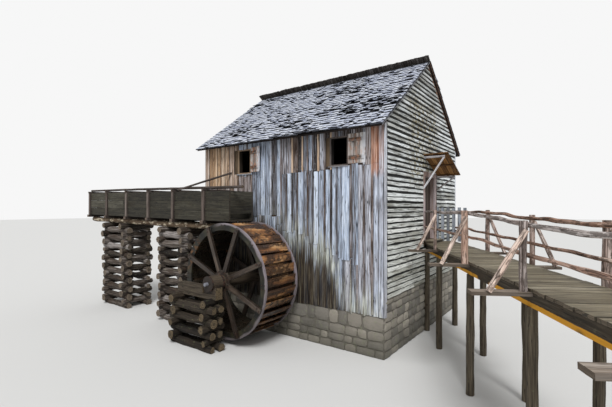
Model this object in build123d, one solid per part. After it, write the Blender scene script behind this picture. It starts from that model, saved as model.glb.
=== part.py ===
from build123d import *
import os
from math import atan, cos, degrees, hypot, radians, sin, tan

# Watermill: a boarded timber house on fieldstone walls, with an overshot wheel beside it,
# a raised board flume on notched log cribs, and a railed walkway up to its door.
# Millimetres. +X runs right along the long wheel-side wall, +Y runs back, +Z is up.
# The origin is the foot of the house's front right corner, on the lowest ground.

# House
house_length = 6550
house_depth = 6080
wall_thickness = 140
stone_thickness = 400
front_stone_height = 1000
end_stone_height = 1700
main_floor_height = 2670
storey_height = 2030
loft_wall_height = 953
floor_thickness = 100

# Roof
roof_angle = 36.5
roof_thickness = 110
roof_edge_thickness = 35
eave_overhang = 280
gable_overhang = 90
comb_thickness = 40
comb_above_ridge = 210
comb_below_ridge = 320
comb_past_left_end = 160
verge_lap = 15
verge_thickness = 24
corner_board_width = 110
corner_board_thickness = 26

# Windows of the wheel-side wall: clear openings
right_window_left = -1494
right_window_above_floor = 47
left_window_left = -4925
left_window_above_floor = 20
window_width = 484
window_height = 685
window_frame_width = 34
window_frame_proud = 18
shutter_width = 495
shutter_height = 750
shutter_thickness = 28
ledge_height = 85
ledge_thickness = 20
ledge_inset = 110
ledge_end_inset = 30
left_shutter_angle = 15

# Door in the right gable: clear opening
door_near_side = 2800
door_width = 820
door_height = 1900
door_liner = 30
casing_near_width = 180
casing_far_width = 230
casing_top_width = 150
casing_thickness = 30
leaf_thickness = 45
leaf_side_gap = 6
leaf_floor_gap = 10
door_ledge_height = 130
door_ledge_thickness = 28
door_ledge_inset = 220
door_ledge_end_inset = 40
hinge_pin_radius = 7
hinge_eye_radius = 14
hinge_eye_height = 50
hinge_axis_inset = 20
hinge_strap_length = 420
hinge_strap_thickness = 12
hinge_plate_width = 70
hinge_web_inset = 6
pin_below_eye = 30
pin_below_top = 5
pin_clearance = 0.3
step_height = 78
step_depth = 300
step_past_door = 60

# Canopy over the door
canopy_near = 2620
canopy_far = 3950
canopy_reach = 740
canopy_high_above_floor = 2545
canopy_low_above_floor = 1995
canopy_thickness = 45
canopy_arm_width = 70
canopy_arm_height = 75
canopy_near_arm_reach = 660
canopy_far_arm_reach = 600
canopy_strut_above_floor = 1500
canopy_strut_size = 60
canopy_strut_foot_share = 1.6
canopy_strut_head_share = 1.2
canopy_strut_inset = 5
canopy_arm_inset = 20

# Waterwheel
wheel_x = -3912
wheel_axis_height = 1680
wheel_radius = 1546
wheel_front = -1551
wheel_width = 1248
shroud_depth = 190
shroud_thickness = 50
felloe_count = 16
felloe_cuts = 4
felloe_joint = 1
bucket_count = 32
bucket_board = 24
bucket_elbow_share = 0.45
bucket_lead_angle = 7.5
bucket_inset = 6
sole_thickness = 28
sole_above_shroud = 6
arm_count = 8
arm_width = 125
arm_thickness = 70
arm_end_inset = 26
hub_plate_radius = 290
axle_radius = 190
axle_front_reach = 519
axle_wall_gap = 35
gudgeon_radius = 45
gudgeon_past_axle = 90
bearing_width = 360
bearing_thickness = 180
bearing_above_axis = 110
inner_bearing_gap = 30
axle_past_beam = 35
axle_past_wall = 12
gudgeon_past_bearing = 20

# Wheel pier of notched logs, in front of the wheel
pier_left_of_axle = 1250
pier_right_of_axle = 215
pier_in_front_of_wheel = 264
pier_depth = 430
pier_beam_height = 300
pier_beam_width = 220
pier_beam_below_axis = 90
pier_beam_past = 60
pier_beam_notch = 20
saddle_width = 480
saddle_thickness = 150
saddle_below_axis = 40
saddle_under_axle = 80

# Flume
flume_end_past_axle = 128
flume_length = 8260
flume_front = -1230
flume_width = 930
flume_above_wheel = 20
flume_height = 859
flume_rise = 0.014
flume_board = 50
outlet_height = 170
flume_post_shares = [0.131, 0.312, 0.481, 0.651, 0.825, 0.991]
flume_post_width = 120
flume_post_thickness = 45
tie_size = 62
bearer_height = 90
bearer_width = 140
bearer_past = 90
flume_beam_size = 180
flume_beam_inset = 190
flume_beam_start = 850
rail_pole_radius = 40
rail_pole_inset = 90
rail_pole_past_end = 430
lever_radius = 32
lever_from_left_end = 1300
lever_steepness = 0.393
lever_lean_left = 560
lever_past_pole = 350

# Log cribs under the flume
crib_log_height = 170
crib_log_width = 190
crib_course_pitch = 150
crib_log_past = 110
crib_log_past_spread = 35
crib_log_width_spread = 18
log_bevel = 55
near_crib_shares = [0.237, 0.398]
far_crib_shares = [0.661, 0.843]

# Walkway: s runs out along it from the first near post, t runs across it
walkway_x = 726
walkway_y = 1505
walkway_angle = -59.49
deck_below_floor = 83
deck_board = 45
deck_near_edge = 75
deck_far_edge = 1100
deck_past_door = 330
deck_end_past = 260
near_post_places = [0, 2438, 4877, 7315]
near_post_radii = [35, 65, 50, 65]
near_rail_heights = [930, 930, 815, 815]
near_low_rail_heights = [484, 469, 419, 390]
far_post_line = 1175
far_post_places = [361, 2585, 4643, 6736]
far_post_radii = [47, 48, 68, 60]
far_rail_heights = [930, 850, 815, 815]
far_low_rail_heights = [435, 390, 360, 360]
post_above_rail = 60
top_rail_radius = 34
low_rail_radius = 29
rail_joint = 4
far_rail_gap = 100
past_wall = 300
stringer_height = 200
stringer_width = 60
outrigger_width = 190
outrigger_thickness = 50
near_outrigger_reach = 680
far_outrigger_reach = 480
near_brace_foot = 430
far_brace_foot = 330
brace_radius = 36
brace_below_rail = 60
brace_cut_share = 0.12
support_radius = 75
guard_length = 900
guard_height = 1070
picket_width = 90
picket_thickness = 22
picket_pitch = 168
picket_count = 6
guard_rail_size = 60
guard_rail_low = 300
guard_rail_high = 850

pole_flats = 12

seat_gap = 0.3
cut_past = 1
beyond = 20000

slope = tan(radians(roof_angle))
ridge_y = house_depth / 2
loft_floor_height = main_floor_height + storey_height
eave_height = loft_floor_height + loft_wall_height
right_window_sill = loft_floor_height + right_window_above_floor
left_window_sill = loft_floor_height + left_window_above_floor
canopy_high_top = main_floor_height + canopy_high_above_floor
canopy_low_top = main_floor_height + canopy_low_above_floor
canopy_strut_foot = main_floor_height + canopy_strut_above_floor
pier_left = wheel_x - pier_left_of_axle
pier_right = wheel_x + pier_right_of_axle
pier_back = wheel_front - pier_in_front_of_wheel
pier_front = pier_back - pier_depth
flume_end_x = wheel_x - flume_end_past_axle
flume_end_bottom = wheel_axis_height + wheel_radius + flume_above_wheel
flume_post_places = [share * flume_length for share in flume_post_shares]
deck_height = main_floor_height - deck_below_floor
deck_back_y = door_near_side + door_width + deck_past_door


def block(x0, x1, y0, y1, z0, z1):
    """A box between two corners."""
    place = Pos((x0 + x1) / 2, (y0 + y1) / 2, (z0 + z1) / 2)
    return place * Box(x1 - x0, y1 - y0, z1 - z0)


def along_x(points, x0, x1):
    """A prism from x0 to x1 over an outline of (y, z) points."""
    wire = Polyline(*[(x0, y, z) for y, z in points], close=True)
    return extrude(make_face(wire), amount=x1 - x0, dir=(1, 0, 0))


def along_y(points, y0, y1):
    """A prism from y0 to y1 over an outline of (x, z) points."""
    wire = Polyline(*[(x, y0, z) for x, z in points], close=True)
    return extrude(make_face(wire), amount=y1 - y0, dir=(0, 1, 0))


def pole(start, end, radius):
    """A round pole between two points."""
    run = Vector(*end) - Vector(*start)
    return extrude(Plane(origin=start, z_dir=run) * Circle(radius), amount=run.length)


def hewn_pole(start, end, radius, facing):
    """A pole dressed to twelve flats, one pair of them square to a facing direction."""
    run = Vector(*end) - Vector(*start)
    section = RegularPolygon(radius, pole_flats, major_radius=False, rotation=180 / pole_flats)
    return extrude(Plane(origin=start, x_dir=facing, z_dir=run) * section, amount=run.length)


def fused(pieces):
    """One solid from pieces that are let into each other."""
    return pieces[0].fuse(*pieces[1:]).clean()


def roof_under(y):
    """Height of the roof's underside over a line along the house."""
    return eave_height + slope * (ridge_y - abs(ridge_y - y))


def log_bar(length, width, height):
    """A split log along X, hewn to a flat bed and top."""
    w, h, c = width / 2, height / 2, log_bevel
    outline = [(-w, 0), (-w + c, -h), (w - c, -h), (w, 0), (w - c, h), (-w + c, h)]
    return along_x(outline, -length / 2, length / 2)


def notched(log, below):
    """A log cut underneath where it sits over the logs of the course below."""
    for other in below:
        low, high = other.bounding_box().min, other.bounding_box().max
        log -= block(low.X - seat_gap, high.X + seat_gap, low.Y - seat_gap, high.Y + seat_gap,
                     low.Z, high.Z + seat_gap)
    return log


def uneven(course, side):
    """A fixed mix of -1..1 that keeps neighbouring logs unlike each other."""
    return sin(2.3 * course + 1.7 * side)


def log_crib(x0, x1, y0, y1, top):
    """Courses of notched logs laid crosswise from the ground up, with the top pair along Y."""
    courses = 2 * round((top - crib_log_height) / crib_course_pitch / 2 + 0.5)
    pitch = (top - crib_log_height) / (courses - 1)
    stack = [[]]
    for course in range(courses):
        z = crib_log_height / 2 + course * pitch
        layer = []
        for side in (0, 1):
            past = crib_log_past + crib_log_past_spread * uneven(course, side)
            width = crib_log_width + crib_log_width_spread * uneven(course + 1, 1 - side)
            if course % 2 == 0:
                bar = log_bar(x1 - x0 + 2 * past, width, crib_log_height)
                y = (y0 + width / 2, y1 - width / 2)[side]
                bar = Pos((x0 + x1) / 2, y, z) * bar
            else:
                bar = log_bar(y1 - y0 + 2 * past, width, crib_log_height)
                x = (x0 + width / 2, x1 - width / 2)[side]
                bar = Pos(x, (y0 + y1) / 2, z) * Rot(0, 0, 90) * bar
            layer.append(notched(bar, stack[-1]))
        stack.append(layer)
    return stack[1:]


# Foundation: stone walls, stepped down at the front corners under the long wall
def foundation_front_back():
    inner_left = -house_length + stone_thickness
    back_y = house_depth - stone_thickness
    front = block(inner_left, -stone_thickness, 0, stone_thickness, 0, front_stone_height)
    back = block(inner_left, -stone_thickness, back_y, house_depth, 0, end_stone_height)
    return [front, back]


def foundation_ends():
    outline = [(0, 0), (house_depth, 0), (house_depth, end_stone_height)]
    outline += [(wall_thickness, end_stone_height), (wall_thickness, front_stone_height)]
    outline += [(0, front_stone_height)]
    left = along_x(outline, -house_length, -house_length + stone_thickness)
    right = along_x(outline, -stone_thickness, 0)
    return [left, right]


# Walls
def window_boxes(margin, y0, y1):
    """The two window openings as boxes, larger than clear by a margin."""
    boxes = []
    for left, sill in ((right_window_left, right_window_sill), (left_window_left, left_window_sill)):
        right, top = left + window_width, sill + window_height
        boxes.append(block(left - margin, right + margin, y0, y1, sill - margin, top + margin))
    return boxes


def front_wall():
    outline = [(0, front_stone_height), (wall_thickness, front_stone_height)]
    outline += [(wall_thickness, roof_under(wall_thickness)), (0, roof_under(0))]
    wall = along_x(outline, -house_length, 0)
    for opening in window_boxes(window_frame_width, -cut_past, wall_thickness + cut_past):
        wall -= opening
    hole = pole((wheel_x, -cut_past, wheel_axis_height),
                (wheel_x, wall_thickness + cut_past, wheel_axis_height), axle_radius + axle_wall_gap)
    return [wall - hole]


def back_wall():
    inner = house_depth - wall_thickness
    outline = [(inner, end_stone_height), (house_depth, end_stone_height)]
    outline += [(house_depth, roof_under(house_depth)), (inner, roof_under(inner))]
    return [along_x(outline, -house_length, 0)]


gable_near = wall_thickness
gable_far = house_depth - wall_thickness
door_far_side = door_near_side + door_width
door_head = main_floor_height + door_height


def left_gable_wall():
    outline = [(gable_near, end_stone_height), (gable_far, end_stone_height)]
    outline += [(gable_far, roof_under(gable_far)), (ridge_y, roof_under(ridge_y))]
    outline += [(gable_near, roof_under(gable_near))]
    return [along_x(outline, -house_length, -house_length + wall_thickness)]


def right_wall_near():
    return [block(-wall_thickness, 0, gable_near, door_near_side - door_liner,
                  end_stone_height, door_head + door_liner)]


def right_wall_far():
    return [block(-wall_thickness, 0, door_far_side + door_liner, gable_far,
                  end_stone_height, door_head + door_liner)]


def right_wall_below_door():
    return [block(-wall_thickness, 0, door_near_side - door_liner, door_far_side + door_liner,
                  end_stone_height, main_floor_height)]


def right_gable():
    base = door_head + door_liner
    outline = [(gable_near, base), (gable_far, base), (gable_far, roof_under(gable_far))]
    outline += [(ridge_y, roof_under(ridge_y)), (gable_near, roof_under(gable_near))]
    return [along_x(outline, -wall_thickness, 0)]


def floor_slab(top):
    return [block(-house_length + wall_thickness, -wall_thickness, gable_near, gable_far,
                  top - floor_thickness, top)]


# Roof
roof_left = -house_length - gable_overhang
roof_right = gable_overhang
edge_rise = (roof_thickness - roof_edge_thickness) / cos(radians(roof_angle))


def roof_slope(side):
    """side -1 is the wheel side's slope, +1 the back one. Past the walls only its top runs on."""
    upright = roof_thickness / cos(radians(roof_angle))
    wall_y, eave_y = [ridge_y + side * (ridge_y + out) for out in (0, eave_overhang)]
    core = [(y, roof_under(y)) for y in (ridge_y, wall_y)]
    core += [(y, roof_under(y) + edge_rise) for y in (wall_y, ridge_y)]
    sheet = [(y, roof_under(y) + edge_rise) for y in (ridge_y, eave_y)]
    sheet += [(y, roof_under(y) + upright) for y in (eave_y, ridge_y)]
    return [fused([along_x(sheet, roof_left, roof_right), along_x(core, -house_length, 0)])]


def roof_comb():
    """The back slope's top courses, carried past the ridge as a weather comb."""
    angle = radians(roof_angle)
    ridge_top = roof_under(ridge_y) + roof_thickness / cos(angle)

    def on_slope(down, up):
        y = ridge_y + down * cos(angle) + up * sin(angle)
        return (y, ridge_top - down * sin(angle) + up * cos(angle))

    outline = [on_slope(comb_below_ridge, 0), on_slope(comb_below_ridge, comb_thickness)]
    outline += [on_slope(-comb_above_ridge, comb_thickness), on_slope(-comb_above_ridge, 0)]
    return [along_x(outline, roof_left - comb_past_left_end, roof_right)]


def verge_boards():
    """A pair of boards up each gable, under the roof's thin edge."""
    outline = [(y, roof_under(y) + edge_rise) for y in (0, ridge_y, house_depth)]
    outline += [(y, roof_under(y) - verge_lap) for y in (house_depth, ridge_y, 0)]
    right = along_x(outline, 0, verge_thickness)
    left = along_x(outline, -house_length - verge_thickness, -house_length)
    return [right, left]


def corner_boards():
    """Upright boards at the gables' corners, up to the verge boards."""
    top_near = roof_under(0) - verge_lap
    width, thick = corner_board_width, corner_board_thickness
    near = [(0, front_stone_height), (width, front_stone_height)]
    near += [(width, top_near + slope * width), (0, top_near)]
    far = [(house_depth, end_stone_height), (house_depth - width, end_stone_height)]
    far += [(house_depth - width, top_near + slope * width), (house_depth, top_near)]
    boards = []
    for outline in (near, far):
        boards.append(along_x(outline, 0, thick))
        boards.append(along_x(outline, -house_length - thick, -house_length))
    return boards


# Windows and shutters
def window_frames():
    frames = []
    outer = window_boxes(window_frame_width, -window_frame_proud, wall_thickness)
    inner = window_boxes(0, -window_frame_proud - cut_past, wall_thickness + cut_past)
    for solid, hole in zip(outer, inner):
        frames.append(solid - hole)
    return frames


def shutter(hinge_x, sill, angle):
    """A boarded shutter with two ledges, hung open from the window's right side."""
    leaf = block(0, shutter_width, -shutter_thickness, 0, 0, shutter_height)
    pieces = [leaf]
    for z in (ledge_inset, shutter_height - ledge_inset - ledge_height):
        front = -shutter_thickness - ledge_thickness
        pieces.append(block(ledge_end_inset, shutter_width - ledge_end_inset, front,
                            -shutter_thickness, z, z + ledge_height))
    clear_x = hinge_x + shutter_thickness * sin(radians(angle))
    return [Pos(clear_x, 0, sill) * Rot(0, 0, -angle) * fused(pieces)]


def shutter_right():
    hinge_x = right_window_left + window_width + window_frame_width
    return shutter(hinge_x, right_window_sill, 0)


def shutter_left():
    hinge_x = left_window_left + window_width + window_frame_width
    return shutter(hinge_x, left_window_sill, left_shutter_angle)


# Door
def door_frame():
    """Jamb and head liners in the wall with flat casings outside."""
    near, far = door_near_side, door_far_side
    liner = block(-wall_thickness, 0, near - door_liner, far + door_liner,
                  main_floor_height, door_head + door_liner)
    casing = block(0, casing_thickness, near - casing_near_width, far + casing_far_width,
                   main_floor_height, door_head + casing_top_width)
    way = block(-wall_thickness - cut_past, casing_thickness + cut_past, near, far,
                main_floor_height - cut_past, door_head)
    return [fused([liner, casing]) - way]


hinge_x = -wall_thickness - hinge_axis_inset
hinge_y = door_far_side - leaf_side_gap / 2
leaf_bottom = main_floor_height + leaf_floor_gap
leaf_top = door_head - leaf_side_gap
hinge_levels = [leaf_bottom + door_ledge_inset + door_ledge_height / 2,
                leaf_top - door_ledge_inset - door_ledge_height / 2]


def door_leaf():
    """A boarded leaf, flush with the wall's inner face, with two ledges inside."""
    inner = -wall_thickness
    near, far = door_near_side + leaf_side_gap, door_far_side - leaf_side_gap
    pieces = [block(inner, inner + leaf_thickness, near, far, leaf_bottom, leaf_top)]
    for level in hinge_levels:
        low, high = level - door_ledge_height / 2, level + door_ledge_height / 2
        back = inner - door_ledge_thickness
        ledge_end = far - hinge_strap_length / 3
        pieces.append(block(back, inner, near + door_ledge_end_inset, ledge_end, low, high))
    return [fused(pieces)]


def door_straps():
    """Hinge straps on the leaf, each with an eye round its pin."""
    inner = -wall_thickness
    far = door_far_side - leaf_side_gap
    straps = []
    for level in hinge_levels:
        low = level - hinge_eye_height / 2
        high = low + hinge_eye_height
        plate_end = far - hinge_strap_length / 3 + pin_clearance
        plate = block(inner - hinge_strap_thickness, inner, plate_end, hinge_y, low, high)
        eye = Pos(hinge_x, hinge_y, level) * Cylinder(hinge_eye_radius, hinge_eye_height)
        web_end = hinge_y - hinge_web_inset
        web = block(hinge_x, inner, web_end - hinge_strap_thickness, web_end, low, high)
        bore = Pos(hinge_x, hinge_y, level) * Cylinder(hinge_pin_radius + pin_clearance,
                                                       hinge_eye_height + cut_past)
        straps.append(fused([plate, eye, web]) - bore)
    return straps


def door_pins():
    """Hinge pins on plates that are fixed to the wall beside the door."""
    pins = []
    for level in hinge_levels:
        low = level - hinge_eye_height / 2
        foot = low - pin_below_eye
        pin = pole((hinge_x, hinge_y, foot),
                   (hinge_x, hinge_y, low + hinge_eye_height - pin_below_top), hinge_pin_radius)
        far = door_far_side + door_liner + hinge_plate_width
        arm = block(hinge_x - hinge_pin_radius, -wall_thickness, hinge_y - hinge_pin_radius, far,
                    foot, low - pin_below_top)
        pins.append(fused([pin, arm]))
    return pins


def door_step():
    low, high = deck_height, deck_height + step_height
    return [block(casing_thickness, step_depth, door_near_side - step_past_door,
                  door_far_side + step_past_door, low, high)]


# Canopy over the door: a small lean-to that falls sideways, on two brackets
canopy_fall = (canopy_high_top - canopy_low_top) / (canopy_far - canopy_near)


def canopy_under(y):
    return canopy_high_top - canopy_thickness - canopy_fall * (y - canopy_near)


def door_canopy():
    outline = [(canopy_near, canopy_under(canopy_near)), (canopy_far, canopy_under(canopy_far))]
    outline += [(canopy_far, canopy_low_top), (canopy_near, canopy_high_top)]
    return [along_x(outline, casing_thickness, canopy_reach)]


def bracket(y, reach):
    """A level arm under the canopy with a strut back to the wall."""
    far = y + canopy_arm_width
    low = canopy_under(far) - canopy_arm_height
    outline = [(y, low), (far, low), (far, canopy_under(far)), (y, canopy_under(y))]
    arm = along_x(outline, casing_thickness, reach)
    foot = [(casing_thickness, canopy_strut_foot)]
    foot += [(casing_thickness, canopy_strut_foot + canopy_strut_foot_share * canopy_strut_size)]
    let_in = low + canopy_strut_inset
    head = [(reach - canopy_strut_head_share * canopy_strut_size, let_in), (reach, let_in)]
    strut = along_y(foot + head, y + canopy_strut_inset, far - canopy_strut_inset)
    return fused([arm, strut])


def canopy_brackets():
    far_y = canopy_far - canopy_arm_width - canopy_arm_inset
    near = bracket(canopy_near + canopy_arm_inset, canopy_near_arm_reach)
    far = bracket(far_y, canopy_far_arm_reach)
    return [near, far]


# Waterwheel. The wheel is built about its own axle and then set in its place.
wheel_place = Pos(wheel_x, wheel_front, wheel_axis_height)
shroud_inner = wheel_radius - shroud_depth
sole_face = shroud_inner + sole_thickness + sole_above_shroud


def ring_point(radius, angle):
    return (radius * sin(radians(angle)), radius * cos(radians(angle)))


def wheel_prism(points, y0, y1):
    return wheel_place * along_y(points, y0, y1)


def ring_segment(inner, outer, a0, a1, y0, y1):
    """A segment of a ring between two angles, its edges sawn in short straight cuts."""
    angles = [a0 + (a1 - a0) * i / felloe_cuts for i in range(felloe_cuts + 1)]
    outline = [ring_point(outer, a) for a in angles]
    outline += [ring_point(inner, a) for a in reversed(angles)]
    return wheel_prism(outline, y0, y1)


def shroud(y0):
    step = 360 / felloe_count
    half_joint = degrees(felloe_joint / 2 / shroud_inner)
    felloes = []
    for i in range(felloe_count):
        a0, a1 = i * step + half_joint, (i + 1) * step - half_joint
        felloes.append(ring_segment(shroud_inner, wheel_radius, a0, a1, y0, y0 + shroud_thickness))
    return felloes


rear_shroud_start = wheel_width - shroud_thickness
bucket_step = 360 / bucket_count


def wheel_sole():
    """Flat boards between the shrouds, one behind each bucket."""
    boards = []
    half = bucket_step / 2 - degrees(felloe_joint / 2 / shroud_inner)
    for i in range(bucket_count):
        a = i * bucket_step
        inner = sole_face - sole_thickness
        flat = [ring_point(r / cos(radians(half)), a + h)
                for r, h in ((inner, -half), (sole_face, -half), (sole_face, half), (inner, half))]
        boards.append(wheel_prism(flat, shroud_thickness, rear_shroud_start))
    return boards


def bucket_boards():
    """Each elbow bucket's riser, square to the sole, and its lip, slanting forward to the rim."""
    elbow = sole_face + bucket_elbow_share * (wheel_radius - sole_face)
    tip_radius = wheel_radius - bucket_board - bucket_inset
    lead = radians(bucket_lead_angle)
    tip_u, tip_v = -tip_radius * sin(lead), tip_radius * cos(lead)
    run = hypot(tip_u, tip_v - elbow)
    along_u, along_v = tip_u / run, (tip_v - elbow) / run
    off_u, off_v = along_v * bucket_board, -along_u * bucket_board
    corner_v = elbow + off_v + (bucket_board - off_u) / along_u * along_v
    riser = [(0, sole_face), (0, elbow), (bucket_board, corner_v), (bucket_board, sole_face)]
    lip = [(0, elbow), (tip_u, tip_v), (tip_u + off_u, tip_v + off_v), (bucket_board, corner_v)]
    return riser, lip


def round_the_wheel(outline):
    board = along_y(outline, shroud_thickness, rear_shroud_start)
    return [wheel_place * Rot(0, i * bucket_step, 0) * board for i in range(bucket_count)]


def wheel_arms():
    """Eight arms and a hub plate on the outer face of each shroud."""
    stars = []
    bore_end = wheel_width + arm_thickness + cut_past
    ring_bore = wheel_place * pole((0, wheel_width - bore_end, 0), (0, bore_end, 0),
                                  axle_radius + seat_gap)
    for y0 in (-arm_thickness, wheel_width):
        y1 = y0 + arm_thickness
        pieces = [wheel_place * pole((0, y0, 0), (0, y1, 0), hub_plate_radius)]
        for i in range(arm_count // 2):
            angle = 360 / arm_count * (i + 0.5)
            bar = Rot(0, angle, 0) * Box(arm_width, arm_thickness, 2 * (wheel_radius - arm_end_inset))
            pieces.append(wheel_place * Pos(0, (y0 + y1) / 2, 0) * bar)
        stars.append(fused(pieces) - ring_bore)
    return stars


axle_inner_end = wall_thickness + axle_past_wall
axle_front_end = wheel_front - axle_front_reach
beam_middle_y = axle_front_end + axle_past_beam + pier_beam_width / 2
inner_bearing_y = wall_thickness + inner_bearing_gap


def wheel_axle():
    """A round timber with an iron gudgeon let into each end. Its outer end turns in a saddle."""
    def shaft(y0, y1, radius):
        return pole((wheel_x, y0, wheel_axis_height), (wheel_x, y1, wheel_axis_height), radius)

    timber = shaft(axle_front_end, axle_inner_end, axle_radius)
    gudgeon_inner_end = inner_bearing_y + bearing_thickness + gudgeon_past_bearing
    gudgeons = shaft(axle_front_end - gudgeon_past_axle, gudgeon_inner_end, gudgeon_radius)
    return [fused([timber, gudgeons])]


def bearing(width, y0, y1, base, top, bore_radius):
    body = block(wheel_x - width / 2, wheel_x + width / 2, y0, y1, base, top)
    return body - pole((wheel_x, y0 - cut_past, wheel_axis_height),
                       (wheel_x, y1 + cut_past, wheel_axis_height), bore_radius + seat_gap)


pier_beam_top = wheel_axis_height - pier_beam_below_axis
saddle_base = wheel_axis_height - axle_radius - saddle_under_axle


def wheel_bearings():
    """A hollowed saddle let into the pier's beam, and a bored block on the stone wall inside."""
    saddle = bearing(saddle_width, beam_middle_y - saddle_thickness / 2,
                     beam_middle_y + saddle_thickness / 2, saddle_base,
                     wheel_axis_height - saddle_below_axis, axle_radius)
    inner = bearing(bearing_width, inner_bearing_y, inner_bearing_y + bearing_thickness,
                    front_stone_height, wheel_axis_height + bearing_above_axis, gudgeon_radius)
    return [saddle, inner]


def wheel_pier():
    """Notched logs that carry a beam under the axle's saddle."""
    beam_bottom = pier_beam_top - pier_beam_height
    courses = log_crib(pier_left, pier_right, pier_front, pier_back, beam_bottom + pier_beam_notch)
    bar = log_bar(pier_right - pier_left + 2 * pier_beam_past, pier_beam_width, pier_beam_height)
    middle_z = beam_bottom + pier_beam_height / 2
    beam = notched(Pos((pier_left + pier_right) / 2, beam_middle_y, middle_z) * bar, courses[-1])
    seat = block(wheel_x - saddle_width / 2, wheel_x + saddle_width / 2,
                 beam_middle_y - pier_beam_width, beam_middle_y + pier_beam_width,
                 saddle_base, pier_beam_top + cut_past)
    return sum(courses, []) + [beam - seat]


# Flume, built level from its open end at X 0 back along -X, then tilted into place
flume_place = Pos(flume_end_x, 0, flume_end_bottom) * Rot(0, degrees(atan(flume_rise)), 0)
flume_back = flume_front + flume_width


def flume_block(x0, x1, y0, y1, z0, z1):
    return flume_place * block(x0, x1, y0, y1, z0, z1)


def flume_sides():
    front = flume_block(-flume_length, 0, flume_front, flume_front + flume_board, 0, flume_height)
    back = flume_block(-flume_length, 0, flume_back - flume_board, flume_back, 0, flume_height)
    return [front, back]


def flume_bottom():
    return [flume_block(-flume_length, 0, flume_front + flume_board, flume_back - flume_board,
                        0, flume_board)]


def flume_end():
    """Boards that close the end above the outlet."""
    return [flume_block(-flume_board, 0, flume_front + flume_board, flume_back - flume_board,
                        flume_board + outlet_height, flume_height)]


def flume_posts():
    posts = []
    for place in flume_post_places:
        x0, x1 = -place - flume_post_width / 2, -place + flume_post_width / 2
        for y0 in (flume_front - flume_post_thickness, flume_back):
            posts.append(flume_block(x0, x1, y0, y0 + flume_post_thickness, 0, flume_height))
    return posts


def flume_ties():
    """Cross pieces over the trough that hold its sides."""
    ties = []
    for place in flume_post_places:
        ties.append(flume_block(-place - tie_size / 2, -place + tie_size / 2,
                                flume_front - flume_post_thickness, flume_back + flume_post_thickness,
                                flume_height, flume_height + tie_size))
    return ties


def flume_bearers():
    """Cross timbers under the trough, on the beams."""
    bearers = []
    for place in flume_post_places:
        bearers.append(flume_block(-place - bearer_width / 2, -place + bearer_width / 2,
                                   flume_front - bearer_past, flume_back + bearer_past,
                                   -bearer_height, 0))
    return bearers


def flume_beams():
    """Two long squared logs from crib to crib."""
    beams = []
    for y in (flume_front + flume_beam_inset, flume_back - flume_beam_inset):
        length = flume_length - flume_beam_start
        bar = Pos(-flume_beam_start - length / 2, y, -bearer_height - flume_beam_size / 2)
        beams.append(flume_place * bar * log_bar(length, flume_beam_size, flume_beam_size))
    return beams


def flume_point(x, y, z):
    place = flume_place * Pos(x, y, z)
    return place.position.to_tuple()


pole_centre = flume_height + tie_size + rail_pole_radius + seat_gap
pole_y = flume_front + rail_pole_inset


def flume_rail_pole():
    start = flume_point(-flume_length, pole_y, pole_centre)
    end = flume_point(rail_pole_past_end, pole_y, pole_centre)
    return [pole(start, end, rail_pole_radius)]


lever_wall_x = lever_from_left_end - house_length


def gate_lever():
    """A pole from the wall down over the flume, resting on the rail pole."""
    pole_height = flume_point(lever_wall_x - lever_lean_left - flume_end_x, pole_y, pole_centre)[2]
    lift = (rail_pole_radius + lever_radius + 2 * seat_gap) * hypot(1, lever_steepness)

    def lever_point(out):
        lean = lever_lean_left * (1 - out / pole_y)
        height = pole_height + lift + lever_steepness * (out - pole_y)
        return (lever_wall_x - lever_lean_left + lean, out, height)

    bar = pole(lever_point(lever_radius), lever_point(pole_y - lever_past_pole), lever_radius)
    inside = block(-house_length, 0, -seat_gap, wall_thickness, front_stone_height, 2 * eave_height)
    return [bar - inside]


def crib_under_flume(shares):
    """A crib whose flat top meets the flume's beams at their lowest point above it."""
    right_along, left_along = [-share * flume_length for share in shares]
    left, right = flume_end_x + left_along, flume_end_x + right_along
    flat_edge = right_along - log_bevel
    top = flume_point(flat_edge, 0, -bearer_height - flume_beam_size)[2] - seat_gap
    return sum(log_crib(left, right, flume_front, flume_back, top), [])


# Walkway
walkway = Plane(origin=(walkway_x, walkway_y, 0), z_dir=(0, 0, 1),
                x_dir=(cos(radians(walkway_angle)), sin(radians(walkway_angle)), 0))
along_walkway = walkway.x_dir.to_tuple()
across_walkway = walkway.y_dir.to_tuple()
run_end = near_post_places[-1] + deck_end_past
deck_under = deck_height - deck_board
stringer_bottom = deck_under - stringer_height


def walk_point(s, t, z):
    return walkway.from_local_coords(Vector(s, t, z)).to_tuple()


def walk_block(s0, s1, t0, t1, z0, z1):
    return walkway.location * block(s0, s1, t0, t1, z0, z1)


def s_at_x(t, x):
    """How far along the walkway a line across t crosses the plane of one x."""
    start = walk_point(0, t, 0)
    return (x - start[0]) / cos(radians(walkway_angle))


def s_at_y(t, y):
    start = walk_point(0, t, 0)
    return (y - start[1]) / sin(radians(walkway_angle))


def behind(x):
    """The space on the house's side of one x, to cut the walkway's pieces at."""
    return block(-beyond, x + seat_gap, -beyond, beyond, 0, beyond)


def walkway_deck():
    near, far = deck_near_edge, deck_far_edge
    corner = walk_point(s_at_y(far, deck_back_y), far, 0)
    near_wall = walk_point(s_at_x(near, 0), near, 0)
    outline = [(0, near_wall[1]), walk_point(run_end, near, 0)[:2], walk_point(run_end, far, 0)[:2]]
    outline += [corner[:2], (0, deck_back_y)]
    wire = Polyline(*[(x, y, deck_under) for x, y in outline], close=True)
    return [extrude(make_face(wire), amount=deck_board, dir=(0, 0, 1))]


def outrigger_places():
    near = [(s, -near_outrigger_reach, deck_near_edge + stringer_width) for s in near_post_places]
    far = [(s, deck_far_edge - stringer_width, far_post_line + far_outrigger_reach)
           for s in far_post_places]
    return near + far


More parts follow.
